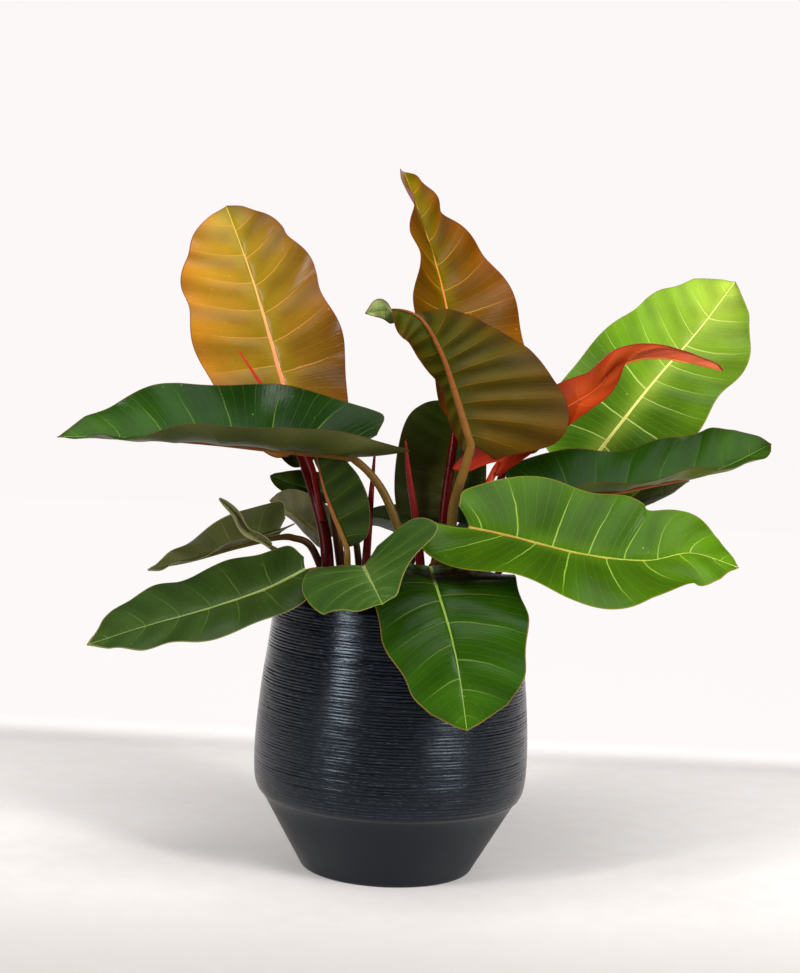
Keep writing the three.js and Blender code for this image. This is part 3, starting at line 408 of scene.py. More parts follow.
# Colours as they look on a screen, from 0 to 255. "upper" and "under" run from the leaf's base to its tip,
# "core" lies beside the midrib, "rim" towards the edge, and "patch" in soft clouds over the blade.
# "halves" scales the left and right half, as painted light on the one and painted shade on the other,
# "quilt" swells it between its veins, "point" narrows its tip
LOOKS = {
    "golden": dict(
        # The lighter left half and darker right half are painted light and shade
        quilt=1.5, painted_light_halves=(1.4, 0.6), upper=[(120, 82, 28), (127, 90, 18), (138, 102, 24), (128, 102, 20)],
        core=(141, 123, 24), rim=(133, 73, 16), patch=(120, 97, 13), line=(214, 146, 74), hem=(112, 48, 34),
        rib=[(222, 126, 96), (224, 140, 92), (222, 160, 84), (198, 176, 70)],
        under=[(150, 92, 52), (160, 100, 58)], under_line=(190, 110, 70),
    ),
    "copper": dict(
        upper=[(104, 60, 3), (99, 60, 2), (100, 66, 1), (104, 74, 1)],
        core=(114, 108, 7), rim=(112, 54, 6), patch=(80, 58, 2), line=(204, 140, 54), hem=(104, 50, 26),
        rib=[(214, 118, 72), (212, 118, 66), (214, 146, 66), (190, 160, 60)],
        under=[(150, 84, 70), (176, 120, 104)], under_line=(196, 116, 90),
    ),
    "olive": dict(
        quilt=1.5, upper=[(96, 80, 24), (84, 92, 26), (110, 132, 54), (196, 222, 150)],
        core=(110, 110, 40), rim=(104, 72, 24), patch=(70, 60, 14), line=(150, 150, 70), hem=(92, 30, 22),
        rib=[(170, 120, 60), (160, 140, 70), (150, 160, 70)],
        under=[(78, 56, 4), (60, 52, 3), (52, 50, 3), (58, 58, 4)], under_core=(52, 66, 5),
        under_rim=(72, 44, 6), under_line=(112, 72, 22),
        under_rib=[(150, 84, 44), (128, 68, 38), (110, 50, 30)],
    ),
    "left": dict(
        point=0.6, upper=[(9, 27, 1), (16, 42, 2), (24, 57, 5), (38, 73, 8), (57, 92, 20)],
        core=(37, 68, 6), rim=(22, 49, 3), patch=(15, 39, 2), line=(124, 152, 60), hem=(70, 52, 24),
        rib=[(120, 120, 50), (120, 150, 60), (132, 160, 76)],
        under=[(74, 78, 30), (58, 66, 22), (84, 90, 46)], under_core=(44, 52, 14), under_rim=(82, 82, 52),
        under_line=(44, 52, 20),
        under_rib=[(150, 90, 40), (140, 88, 40), (100, 90, 40)],
    ),
    "upper_right": dict(
        # The lighter left half and darker right half are painted light and shade
        painted_light_halves=(1.35, 0.72), point=0.45,
        # The pale yellow-green and the bright veins and midrib are partly the leaf's own colour and partly
        # painted light shining through it
        upper=[(42, 72, 8), (58, 94, 10), (90, 128, 22), (118, 148, 38), (142, 164, 48)],
        core=(144, 165, 53), rim=(86, 118, 18), patch=(64, 102, 11), line=(200, 214, 120),
        hem=(120, 120, 40),
        rib=[(200, 190, 100), (226, 226, 124), (214, 222, 118)],
        under=[(90, 110, 50), (110, 130, 60)], under_line=(150, 160, 90),
    ),
    "right": dict(
        point=0.3, upper=[(12, 34, 2), (22, 52, 4), (34, 66, 7), (48, 82, 13)],
        core=(38, 70, 8), rim=(28, 54, 4), patch=(14, 38, 2), line=(100, 124, 56), hem=(74, 48, 24),
        rib=[(96, 100, 40), (100, 124, 50), (110, 136, 60)],
        under=[(48, 66, 7), (74, 87, 16), (123, 133, 38)], under_line=(110, 96, 50),
        under_rib=[(140, 60, 34), (120, 40, 30)],
    ),
    "right_front": dict(
        point=0.65, upper=[(62, 90, 12), (42, 72, 3), (50, 82, 5), (68, 104, 8), (80, 126, 16)],
        core=(82, 117, 18), rim=(64, 98, 7), patch=(46, 80, 6), line=(158, 188, 72), hem=(112, 108, 30),
        rib=[(168, 140, 60), (150, 160, 64), (158, 180, 70), (190, 204, 80)],
        under=[(80, 104, 40), (100, 124, 50)], under_line=(140, 150, 70),
    ),
    "front": dict(
        point=0.6, upper=[(19, 41, 2), (26, 51, 3), (35, 67, 4), (47, 84, 9)],
        core=(44, 77, 6), rim=(31, 64, 4), patch=(22, 50, 2), line=(110, 138, 60), hem=(116, 92, 40),
        rib=[(140, 160, 70), (128, 152, 64), (120, 150, 60)],
        under=[(60, 74, 36), (76, 92, 46)], under_line=(110, 120, 60),
    ),
    "front_small": dict(
        point=0.5, upper=[(41, 65, 21), (49, 75, 25), (56, 85, 31), (66, 101, 33)],
        core=(74, 102, 43), rim=(53, 79, 27), patch=(43, 71, 23), line=(124, 150, 78), hem=(128, 124, 60),
        rib=[(140, 156, 84), (130, 156, 76), (124, 150, 60)],
        under=[(66, 84, 44), (80, 100, 50)], under_line=(110, 126, 70),
    ),
    "left_front": dict(
        point=0.65, upper=[(28, 45, 8), (38, 55, 17), (44, 64, 25), (51, 71, 28)],
        core=(51, 69, 26), rim=(42, 60, 23), patch=(33, 50, 15), line=(92, 118, 58), hem=(110, 104, 60),
        rib=[(128, 146, 78), (116, 138, 72), (108, 132, 62)],
        under=[(66, 78, 46), (80, 92, 56)], under_line=(100, 112, 66),
    ),
    "centre_olive": dict(
        upper=[(36, 52, 16), (46, 62, 20), (58, 72, 26)],
        core=(66, 74, 24), rim=(50, 60, 18), patch=(40, 52, 14), line=(110, 100, 50), hem=(80, 60, 30),
        rib=[(170, 130, 70), (160, 124, 66)],
        under=[(29, 45, 2), (34, 52, 5), (40, 56, 6)], under_line=(86, 84, 36),
        under_rib=[(170, 124, 64), (150, 110, 60)],
    ),
    "dark": dict(
        upper=[(23, 36, 5), (29, 44, 7), (40, 53, 10)],
        core=(49, 70, 14), rim=(44, 46, 10), patch=(55, 46, 14), line=(52, 72, 30), hem=(60, 34, 20),
        rib=[(80, 104, 50), (70, 96, 44)],
        under=[(36, 42, 18), (44, 50, 22)], under_line=(70, 74, 36),
    ),
    "grey": dict(
        point=0.5, upper=[(46, 52, 20), (62, 66, 30), (76, 78, 40)],
        core=(84, 88, 46), rim=(66, 68, 34), patch=(50, 56, 22), line=(104, 106, 62), hem=(110, 104, 80),
        rib=[(120, 118, 70), (110, 112, 64)],
        under=[(84, 84, 50), (108, 106, 74)], under_line=(120, 116, 80),
    ),
    "pale": dict(
        upper=[(100, 102, 62), (116, 116, 76)],
        core=(120, 120, 78), rim=(112, 110, 74), patch=(90, 92, 54), line=(134, 132, 92),
        hem=(124, 116, 84),
        rib=[(136, 132, 92), (136, 132, 92)],
        under=[(118, 116, 78), (130, 126, 88)], under_line=(136, 132, 92),
    ),
    "flame": dict(
        upper=[(214, 46, 34), (138, 32, 2), (160, 64, 22), (196, 92, 40), (250, 190, 130)],
        core=(176, 72, 26), rim=(146, 40, 14), patch=(130, 40, 10), line=(204, 96, 44), hem=(110, 22, 14),
        rib=[(200, 70, 40), (196, 84, 44), (204, 120, 60)],
        under=[(196, 46, 36), (172, 52, 26), (196, 96, 58)], under_line=(206, 86, 50),
    ),
}

# Stalk colours from the soil to the blade and on along the midrib under it
STALKS = {
    "crimson": [(40, 5, 4), (66, 4, 2), (78, 4, 2), (120, 36, 18), (190, 104, 64)],
    "flame": [(110, 24, 14), (140, 34, 20), (176, 60, 30), (200, 96, 44), (206, 120, 56)],
    "tan": [(56, 34, 14), (84, 66, 24), (112, 80, 32), (132, 74, 36), (122, 66, 34)],
    "umber": [(44, 16, 10), (58, 30, 14), (64, 48, 20), (90, 84, 36), (110, 110, 50)],
    "spear": [(48, 8, 10), (66, 10, 12), (86, 14, 14), (118, 26, 22)],
    "ember": [(84, 12, 8), (130, 20, 16), (186, 44, 34)],
}

# Roughness, strength of the side veins, gloss, how deep the painted shade is on one side of the pleats
# between the veins, and for the two young leaves the midrib's half width at its start
BLADE_FINISHES = {
    "golden": (0.25, 0.5, 0.13, 0.2, 4),
    "copper": (0.3, 0.5, 0.05, 0.2, 3.6),
    "olive": (0.34, 0.5, 0.06, 0.3),
    "green": (0.29, 0.38, 0.1, 0.13),
    "lime": (0.27, 0.6, 0.1, 0.15),
    "dark": (0.33, 0.3, 0.1, 0.12),
    "grey": (0.37, 0.3, 0.1, 0.12),
    "flame": (0.18, 0.4, 0.26, 0.15),
}


def linear(colour):
    """A screen colour as the linear values that a shader works with."""
    share = np.asarray(colour, float) / 255
    return np.where(share <= 0.04045, share / 12.92, ((share + 0.055) / 1.055) ** 2.4)


def paint(*colour):
    return (*linear(colour), 1)


def unit(vectors):
    return vectors / np.maximum(np.linalg.norm(vectors, axis=-1, keepdims=True), 1e-9)


def smooth_at(stations, values, x):
    """Cubic through values at uneven stations, with the slope at each taken from its neighbours."""
    last = len(stations) - 1
    low = np.maximum(np.arange(last + 1) - 1, 0)
    high = np.minimum(np.arange(last + 1) + 1, last)
    slope = (values[high] - values[low]) / (stations[high] - stations[low])
    k = np.clip(np.searchsorted(stations, x, side="right") - 1, 0, last - 1)
    span = stations[k + 1] - stations[k]
    w = (x - stations[k]) / span
    rise = (2 * w**3 - 3 * w**2 + 1) * values[k] + (3 * w**2 - 2 * w**3) * values[k + 1]
    start = (w**3 - 2 * w**2 + w) * slope[k]
    end = (w**3 - w**2) * slope[k + 1]
    return rise + span * (start + end)


def even_at(values, x):
    """Straight line through numbers or vectors that are spaced evenly from 0 to 1, or one number for all."""
    values = np.atleast_1d(np.asarray(values, float))
    place = np.clip(x, 0, 1) * (len(values) - 1)
    k = np.minimum(place.astype(int), max(len(values) - 2, 0))
    share = place - k
    if values.ndim > 1:
        share = share[..., None]
    following = np.minimum(k + 1, len(values) - 1)
    return values[k] * (1 - share) + values[following] * share


def tones_at(colours, x):
    return even_at([linear(colour) for colour in colours], x)


def spline(points, t):
    """Uniform Catmull-Rom curve through the points, for t from 0 to 1."""
    points = np.asarray(points, float)
    last = len(points) - 1
    place = np.clip(t, 0, 1) * last
    k = np.minimum(place.astype(int), last - 1)
    w = (place - k)[..., None]
    extended = np.concatenate([[2 * points[0] - points[1]], points, [2 * points[-1] - points[-2]]])
    p0, p1, p2, p3 = (extended[k + step] for step in range(4))
    leave, arrive = (p2 - p0) / 2, (p3 - p1) / 2
    bend = (3 * (p2 - p1) - 2 * leave - arrive) * w**2
    return p1 + leave * w + bend + (2 * (p1 - p2) + leave + arrive) * w**3


def travelled(points):
    """The length of a path up to each of its points."""
    steps = np.linalg.norm(np.diff(points, axis=0), axis=1)
    return np.concatenate([[0], np.cumsum(steps)])


def waves(seed, count, lowest, highest):
    """Random sine waves over a plane, as a function of two coordinates with values from about -1 to 1."""
    random = np.random.default_rng(seed)
    turns = random.uniform(0, FULL_TURN, (count, 2))
    lengths = random.uniform(lowest, highest, count)

    def height(x, y):
        total = np.zeros(np.broadcast(x, y).shape)
        for (heading, phase), k in zip(turns, lengths):
            total += np.sin(k * (x * math.cos(heading) + y * math.sin(heading)) + phase)
        return total / math.sqrt(count)

    return height


def circle_angles(count):
    return np.arange(count) * 2 * math.pi / count


def ring_faces(rows, sides, flip=False):
    """Quads between closed rings of points, and a cap on the first and the last ring."""
    index = np.arange(rows * sides).reshape(rows, sides)
    first, last = index[0], index[-1]
    a, c = index[:-1], index[1:]
    b, d = np.roll(a, -1, 1), np.roll(c, -1, 1)
    corners, caps = ([a, c, d, b], [first, last[::-1]]) if flip else ([a, b, d, c], [first[::-1], last])
    return np.stack([corner.ravel() for corner in corners], 1).tolist() + [cap.tolist() for cap in caps]


class LeafForm:
    """A leaf's curved sheet, as points for shares u along it and v from its midline to its edge."""

    def __init__(self, leaf):
        self.leaf = leaf
        self.shares = np.linspace(0, 1, SPINE_STEPS + 1)
        self.lengths = travelled(spline(leaf["spine"], self.shares))
        self.length = self.lengths[-1]
        self.widths = [np.array([*half, TIP_HALF_WIDTH]) for half in leaf["widths"]]

    def frame_at(self, length):
        t = np.interp(length, self.lengths, self.shares)
        before = spline(self.leaf["spine"], np.clip(t - TANGENT_STEP, 0, 1))
        after = spline(self.leaf["spine"], np.clip(t + TANGENT_STEP, 0, 1))
        along = unit(after - before)
        up = even_at(self.leaf["face"], np.clip(length / self.length, 0, 1))
        up = unit(up - np.sum(up * along, -1, keepdims=True) * along)
        return along, up, np.cross(along, up), spline(self.leaf["spine"], t)

    def half_width(self, side, u):
        """Narrowed towards the tip where the leaf ends in a point."""
        near_tip = np.clip((u - POINT_START) / (1 - POINT_START), 0, 1)
        narrowing = 1 - LOOKS[self.leaf["look"]].get("point", 0) * near_tip
        return np.maximum(smooth_at(STATIONS, self.widths[side > 0], u) * narrowing, LEAST_HALF_WIDTH)

    def points(self, side, u, v):
        leaf, length = self.leaf, self.length
        half = side > 0
        width = self.half_width(side, u)
        swept = STATIONS + leaf["sweep"] * EDGE_SWEEP
        lobe = leaf["lobe"][half] * smooth_at(STATIONS, LOBE_SHARE, u)
        edge = length * (smooth_at(STATIONS, swept, u) - lobe)
        place = u * length + (edge - u * length) * v ** leaf["bend"]
        along, up, across, middle = self.frame_at(np.clip(place, 0, length))
        fold = np.radians(even_at(leaf["fold"][half], u))
        turn = np.radians(even_at(leaf["curl"][half], u))
        curl = np.where(np.abs(turn) < LEAST_CURL, LEAST_CURL, turn)
        tilt = fold + curl * v
        out = width * (np.sin(tilt) - np.sin(fold)) / curl
        lift = width * (np.cos(fold) - np.cos(tilt)) / curl
        height, count, start = leaf["wave"][half]
        size = height * v**2 * np.minimum(1, WAVE_FADE * (1 - u))
        turns = FULL_TURN * (count * u + start)
        ripple = size * np.sin(turns)
        flare = WAVE_FLARE * size * np.cos(turns)
        sideways = side * (out + flare * np.cos(tilt) - ripple * np.sin(tilt))
        upwards = lift + flare * np.sin(tilt) + ripple * np.cos(tilt)
        behind = np.minimum(place, 0)
        return middle + along * behind[..., None] + across * sideways[..., None] + up * upwards[..., None]


def place_object(name, data):
    made = bpy.data.objects.new(name, data)
    bpy.context.scene.collection.objects.link(made)
    return made


def new_piece(name, vertices, faces, material, slot, nodes, values=(), colours=()):
    """A smooth mesh from points in millimetres, with values and colours for each, riding on the one body."""
    mesh = bpy.data.meshes.new(name)
    mesh.from_pydata((np.asarray(vertices) * MM).tolist(), [], faces)
    for key, given in dict(values).items():
        attribute = mesh.attributes.new(key, "FLOAT", "POINT")
        attribute.data.foreach_set("value", np.asarray(given, np.float32))
    for key, given in dict(colours).items():
        attribute = mesh.attributes.new(key, "FLOAT_COLOR", "POINT")
        opaque = np.concatenate([given, np.ones((len(given), 1))], 1)
        attribute.data.foreach_set("color", opaque.astype(np.float32).ravel())
    mesh.polygons.foreach_set("use_smooth", np.ones(len(mesh.polygons), bool))
    mesh.materials.append(material)
    piece = place_object(name, mesh)
    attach(piece, "root")
    if nodes:
        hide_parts(*nodes)
    return piece


class Field:
    """A value that varies over a surface. Arithmetic on it adds math nodes to the material."""

    def __init__(self, shader, socket):
        self.shader, self.socket = shader, socket

    def __add__(self, other):
        return self.shader.math("ADD", self, other)

    def __sub__(self, other):
        return self.shader.math("SUBTRACT", self, other)

    def __mul__(self, other):
        return self.shader.math("MULTIPLY", self, other)

    def __truediv__(self, other):
        return self.shader.math("DIVIDE", self, other)


class Shader:
    """A material's nodes, with short calls for those that the finishes share."""

    def __init__(self, name, settings):
        self.material = bpy.data.materials.new(name)
        self.material.use_nodes = True
        self.tree = self.material.node_tree
        self.surface = self.tree.nodes["Principled BSDF"]
        for key, value in settings.items():
            self.set(key, value)

    def feed(self, socket, value):
        if isinstance(value, Field):
            self.tree.links.new(value.socket, socket)
        else:
            socket.default_value = value

    def set(self, key, value):
        self.feed(self.surface.inputs[key], value)

    def node(self, kind, output, inputs=(), **settings):
        """Adds a node with the inputs and settings given, and returns one of its outputs."""
        node = self.tree.nodes.new("ShaderNode" + kind)
        for key, value in settings.items():
            setattr(node, key, value)
        for key, value in dict(inputs).items():
            self.feed(node.inputs[key], value)
        return Field(self, node.outputs[output])

    def math(self, operation, *values):
        return self.node("Math", 0, enumerate(values), operation=operation)

    def ramp(self, value, low, high, start=0.0, end=1.0):
        """A smooth step from start to end as the value goes from low to high."""
        inputs = {"Value": value, "From Min": low, "From Max": high, "To Min": start, "To Max": end}
        return self.node("MapRange", 0, inputs, interpolation_type="SMOOTHSTEP")

    def mix(self, share, first, second, blend="MIX"):
        inputs = {0: share, 6: first, 7: second}
        return self.node("Mix", 2, inputs, data_type="RGBA", blend_type=blend)

    def shaded(self, colour, shade):
        return self.mix(1.0, colour, self.combine(shade, shade, shade), "MULTIPLY")

    def value(self, key):
        return self.node("Attribute", "Fac", attribute_name=key)

    def colour(self, key):
        return self.node("Attribute", "Color", attribute_name=key)

    def place(self, *scale):
        """The object's own coordinates in metres, stretched where a scale is given for each axis."""
        own = self.node("TexCoord", "Object")
        return self.node("Mapping", 0, {"Vector": own, "Scale": scale}) if scale else own

    def combine(self, x, y, z):
        return self.node("CombineXYZ", 0, {0: x, 1: y, 2: z})

    def noise(self, vector, scale, detail=2.0, roughness=0.5):
        inputs = {"Vector": vector, "Scale": scale, "Detail": detail, "Roughness": roughness}
        return self.node("TexNoise", 0, inputs)

    def cells(self, vector, scale):
        return self.node("TexVoronoi", "Distance", {"Vector": vector, "Scale": scale})

    def bump(self, height, distance, strength):
        inputs = {"Height": height, "Distance": distance, "Strength": strength}
        self.set("Normal", self.node("Bump", 0, inputs))


def blade_material(name, roughness, vein_strength, gloss, painted_shade_depth, rib_half_width=RIB_HALF_WIDTH):
    shader = Shader(name, {"Specular IOR Level": gloss, "IOR": 1.45})
    place = shader.place()
    share, under, along = (shader.value(key) for key in ("share", "under", "along"))
    phase = shader.value("phase") + (shader.noise(place, 45) - 0.5) * 0.06

    def vein(count, width, edge_width):
        offset = shader.math("ABSOLUTE", shader.math("FRACT", phase * count) - 0.5)
        wide = shader.ramp(share, 0, 1, width, edge_width)
        return shader.ramp(offset * (shader.value("pitch") / count), wide * 0.25, wide, 1, 0)

    short_of_tip = shader.ramp(along, 0.9, 0.97, 1, 0)
    lateral = vein(1, VEIN_WIDTH, VEIN_WIDTH_AT_EDGE) * (shader.ramp(share, 0.5, 1, 1, 0.1) * short_of_tip)
    fine = vein(FINE_VEINS, FINE_VEIN_WIDTH, FINE_VEIN_WIDTH) * short_of_tip
    rib_width = shader.ramp(along, 0, 1, rib_half_width, RIB_HALF_WIDTH_AT_TIP)
    rib = shader.ramp(shader.value("across"), rib_width * 0.7, rib_width, 1, 0)
    hem = shader.ramp(shader.value("inset"), HEM_WIDTH * 0.5, HEM_WIDTH * 1.2, 1, 0)

    cloud = shader.noise(place, 22, 3)
    grain = shader.noise(place, 420, 2)
    # Painted shade: one side of the pleats between the veins is darkened, standing in for the relief's
    # shading
    painted_shade_beside_veins = shader.math("SINE", (phase + 0.62) * FULL_TURN) * shader.ramp(share, 0.05, 0.35, 0, painted_shade_depth)
    tone = shader.shaded(shader.colour("tint"), cloud * 0.5 + grain * 0.16 + 0.67 + painted_shade_beside_veins)
    line = shader.colour("line")
    tone = shader.mix(fine * 0.06, tone, line)
    tone = shader.mix(lateral * vein_strength, tone, line)
    tone = shader.mix(rib, tone, shader.colour("rib"))
    tone = shader.mix(hem * 0.85, tone, shader.colour("hem"))
    speck = shader.ramp(shader.cells(place, 70), 0.05, 0.09, 0.5, 0) * shader.ramp(cloud, 0.5, 0.62)
    shader.set("Base Color", shader.mix(speck, tone, line))
    shader.set("Roughness", shader.noise(place, 60, 3) * 0.22 + (roughness - 0.11) + under * 0.12)

    raised = (lateral * 0.5 + fine * 0.12) * (under * 2 - 1)
    stripe = shader.math("SINE", phase * (FULL_TURN * STRIPES))
    grit = shader.noise(place, 900, 1) * 0.06 + shader.noise(place, 130, 2) * 0.25
    shader.bump(raised + stripe * 0.035 + grit, 0.001, 0.7)
    return shader.material


def stalk_material(name):
    shader = Shader(name, {"Specular IOR Level": 0.11, "IOR": 1.45})
    place = shader.place()
    streak = shader.noise(shader.combine(shader.value("turn"), shader.value("reach") * 0.03, 0), 9, 3)
    cloud = shader.noise(place, 60, 3)
    tone = shader.shaded(shader.colour("tint"), streak * 0.7 + cloud * 0.5 + 0.4)
    speck = shader.ramp(shader.cells(place, 260), 0.14, 0.22, 0.35, 0)
    shader.set("Base Color", shader.mix(speck, tone, shader.colour("fleck")))
    shader.set("Roughness", cloud * 0.2 + (STALK_ROUGHNESS - 0.1))
    shader.bump(streak * 0.5 + cloud * 0.3, 0.0006, 0.6)
    return shader.material


def pot_material():
    """Scratched on the ribs' crests, with pale lines there that are partly wear and partly painted glints;
    smoother near the rim and duller on the chamfered foot.
    """
    settings = {"Specular IOR Level": 0.3, "IOR": 1.5, "Specular Tint": (0.72, 0.86, 1.0, 1.0)}
    shader = Shader("ribbed_glaze", settings)
    place = shader.place()
    cloud = shader.noise(place, 14, 4)
    scratch = shader.noise(shader.place(30, 30, 700), 4, 3, 0.6)
    level = shader.value("level")
    dull = shader.ramp(level, 0.2, 0.28, 0.16, 0)
    polish = shader.ramp(level, 0.62, 0.8, 1, 0.5)
    # Pale lines on the rib crests: partly wear, partly painted glints in place of the lamps' reflections
    wear_and_painted_glint = shader.ramp(scratch, 0.5, 0.72) * shader.ramp(shader.value("crest"), 0.4, 1)
    tone = shader.mix(cloud, paint(2, 3, 6), paint(5, 8, 15))
    shader.set("Base Color", shader.mix(wear_and_painted_glint * 0.6, tone, paint(96, 104, 118)))
    shader.set("Roughness", (cloud * 0.34 + 0.04 + dull) * polish + scratch * 0.06)
    shader.bump(scratch * 0.5 + shader.noise(place, 1400, 1) * 0.12, 0.0005, 0.5)
    return shader.material


def soil_material():
    shader = Shader("damp_peat", {"Specular IOR Level": 0.3})
    place = shader.place()
    crumb = shader.noise(place, 260, 5, 0.7)
    patch = shader.noise(place, 40, 3)
    tone = shader.mix(shader.ramp(crumb, 0.35, 0.65), paint(24, 17, 12), paint(62, 44, 30))
    tone = shader.mix(shader.ramp(patch, 0.5, 0.7, 0, 0.5), tone, paint(16, 12, 9))
    fibre = shader.ramp(shader.cells(shader.place(1, 4, 1), 300), 0.1, 0.16, 0.5, 0)
    shader.set("Base Color", shader.mix(fibre, tone, paint(120, 96, 66)))
    shader.set("Roughness", shader.ramp(patch, 0.3, 0.7, 0.98, 0.8))
    shader.bump(crumb, 0.004, 0.9)
    return shader.material


def bark_material():
    shader = Shader("bark", {"Specular IOR Level": 0.3})
    fibre = shader.noise(shader.place(1, 1, 5), 160, 4, 0.6)
    tone = shader.mix(fibre, paint(40, 26, 17), paint(112, 78, 50))
    shader.set("Base Color", shader.mix(shader.colour("tint"), tone, paint(60, 40, 26)))
    shader.set("Roughness", fibre * 0.2 + 0.7)
    shader.bump(shader.noise(shader.place(), 500, 4), 0.001, 0.8)
    return shader.material


def stem_material():
    shader = Shader("scarred_stem", {"Specular IOR Level": 0.35})
    bark = shader.noise(shader.place(1, 1, 3), 90, 4, 0.6)
    tone = shader.mix(bark, paint(46, 40, 22), paint(104, 88, 52))
    scar = shader.ramp(shader.value("crest"), 0.3, 1, 0, 0.8)
    shader.set("Base Color", shader.mix(scar, tone, paint(70, 46, 28)))
    shader.set("Roughness", bark * 0.2 + 0.55)
    shader.bump(bark, 0.0012, 0.8)
    return shader.material


def blade_columns(leaf):
    """Shares from the midline to the edge, closest at the midrib, and one more just inside the edge."""
    widest = max(max(half) for half in leaf["widths"])
    count = int(np.clip(widest / COLUMN_SPACING, 11, 26))
    shares = (np.arange(count + 1) / count) ** 1.2
    return np.concatenate([shares[:-1], [1 - EDGE_INSET / widest, 1]])


def blade_tint(look, upper, side, u, v, across, cloud):
    """The blade's colour at each point, before its veins are drawn: its own colour, and painted light and
    shade on its two halves where the look gives them.
    """
    tone = tones_at(look["upper" if upper else "under"], u)
    core, rim = ("core", "rim") if upper else ("under_core", "under_rim")

    def toward(tone, key, share):
        return tone + (linear(look[key]) - tone) * share[..., None]

    if core in look:
        tone = toward(tone, core, 0.55 * np.exp(-((across / 15) ** 2)))
        tone = toward(tone, rim, 0.6 * np.clip((v - 0.5) / 0.5, 0, 1) ** 1.5)
    # Painted light and shade: one half made lighter and the other darker, most of all towards the edge
    left, right = look.get("painted_light_halves", (1, 1))
    tone = tone * (np.where(side < 0, left, right) ** v)[..., None]
    return toward(tone, "patch", 0.55 * np.clip(cloud * 0.8 + 0.15, 0, 1) * (1 if upper else 0.3))


def grid_normals(grid):
    return unit(np.cross(np.gradient(grid, axis=1), np.gradient(grid, axis=0)))


def blade_relief(look, seed, length, u, v, side, half, phase):
    """Height over the plain form: bulges between the veins, a channel over the midrib, and ripples."""
    across = half * v
    between = np.abs(2 * (phase % 1) - 1)
    strength = np.clip(half / 60, 0.25, 1) * np.minimum(1, 5 * (1 - u)) * np.minimum(1, 4 * u + 0.3)
    quilt = look.get("quilt", 1)
    swell = quilt * QUILT_HEIGHT * strength * (1 - (1 - between) ** 2.0)
    swell = swell * np.sin(math.pi * np.minimum(v, 1) ** 0.75 * 0.93) ** 0.8
    uneven = waves(seed, 7, 0.02, 0.05)(u * length, side * across)
    channel = CHANNEL_DEPTH * np.exp(-((across / CHANNEL_WIDTH) ** 2)) * (1 - u) ** 0.5
    edge = waves(seed + 50, 4, 0.05, 0.09)(u * length + 200 * side, 0 * u)
    return swell + 1.3 * quilt * uneven * v - channel + EDGE_RIPPLE * edge * v**6


def closed_sheet(grid, v):
    """A thin body round a grid of points: its vertices, its faces and the grid's points along its rim."""
    thickness = BLADE_THICKNESS + (EDGE_THICKNESS - BLADE_THICKNESS) * v**2
    lift = grid_normals(grid) * thickness[..., None] / 2
    height, width = v.shape
    total = height * width
    index = np.arange(total).reshape(height, width)

    def around(table):
        return np.concatenate([table[0], table[1:, -1], table[-1, -2::-1], table[-2:0:-1, 0]])

    loop = around(index)
    nearest = around(np.pad(index[1:-1, 1:-1], 1, mode="edge"))
    flat = grid.reshape(-1, 3)
    rim = flat[loop] + unit(flat[loop] - flat[nearest]) * 0.3
    a = index[:-1, :-1].ravel()
    b, c, d = a + 1, a + width, a + width + 1
    ring = 2 * total + np.arange(len(loop))
    following, after = np.roll(loop, -1), np.roll(ring, -1)
    faces = np.concatenate([
        np.stack([a, b, d, c], 1),
        np.stack([a, c, d, b], 1) + total,
        np.stack([loop, ring, after, following], 1),
        np.stack([ring, loop + total, following + total, after], 1),
    ])
    vertices = np.concatenate([(grid + lift).reshape(-1, 3), (grid - lift).reshape(-1, 3), rim])
    return vertices, faces.tolist(), loop


def add_blade(leaf, seed, material):
    """The leaf's sheet, with a row of points every few millimetres and the same number between all veins."""
    form = LeafForm(leaf)
    look = LOOKS[leaf["look"]]
    pitch = form.length / leaf["veins"]
    per_vein = int(np.clip(round(pitch / ROW_SPACING / 2) * 2, 6, 14))
    shares = blade_columns(leaf)
    u, v = np.meshgrid(np.linspace(0, 1, leaf["veins"] * per_vein + 1), shares, indexing="ij")
    grid = np.concatenate([form.points(-1, u, v)[:, ::-1], form.points(1, u, v)[:, 1:]], 1)
    u, v = (np.concatenate([share[:, ::-1], share[:, 1:]], 1) for share in (u, v))
    side = np.where(np.arange(u.shape[1]) < len(shares) - 1, -1, 1)[None]
    half = np.where(side < 0, form.half_width(-1, u), form.half_width(1, u))
    across = half * v
    shift = np.where(side < 0, 0, (per_vein // 3) / per_vein)
    uneven_steps = waves(seed + 20, 3, 0.7, 1.6)(leaf["veins"] * u, 9.0 * side + 0 * u)
    phase = leaf["veins"] * u + shift + 0.2 * uneven_steps
    relief = blade_relief(look, seed, form.length, u, v, side, half, phase)
    grid = grid + grid_normals(grid) * relief[..., None]
    vertices, faces, loop = closed_sheet(grid, v)

    def everywhere(upper, lower=None, rim=None):
        """Values for the upper side, the lower side and the rim, which has the upper side's unless given."""
        lower = upper if lower is None else lower
        return np.concatenate([upper, lower, upper[loop] if rim is None else rim])

    cloud = waves(seed + 100, 8, 0.015, 0.06)(u * form.length, side * across)
    tints = [blade_tint(look, upper, side, u, v, across, cloud).reshape(-1, 3) for upper in (True, False)]
    ribs = [tones_at(look.get(key, look["rib"]), u).reshape(-1, 3) for key in ("rib", "under_rib")]
    lines = [np.tile(linear(look[key]), (u.size, 1)) for key in ("line", "under_line")]
    ones = np.ones(u.size)
    values = {"phase": phase, "share": v, "along": u, "across": across, "inset": half - across}
    values = {key: everywhere(table.ravel()) for key, table in values.items()}
    values |= {"pitch": everywhere(ones * pitch), "under": everywhere(0 * ones, ones, 0 * loop + 0.5)}
    colours = {"tint": everywhere(*tints), "line": everywhere(*lines), "rib": everywhere(*ribs)}
    colours["hem"] = np.tile(linear(look["hem"]), (len(vertices), 1))
    new_piece(
        leaf["name"] + "_blade", vertices, faces, material, "blade_" + leaf["blade"],
        ["leaf_" + leaf["name"]], values, colours,
    )


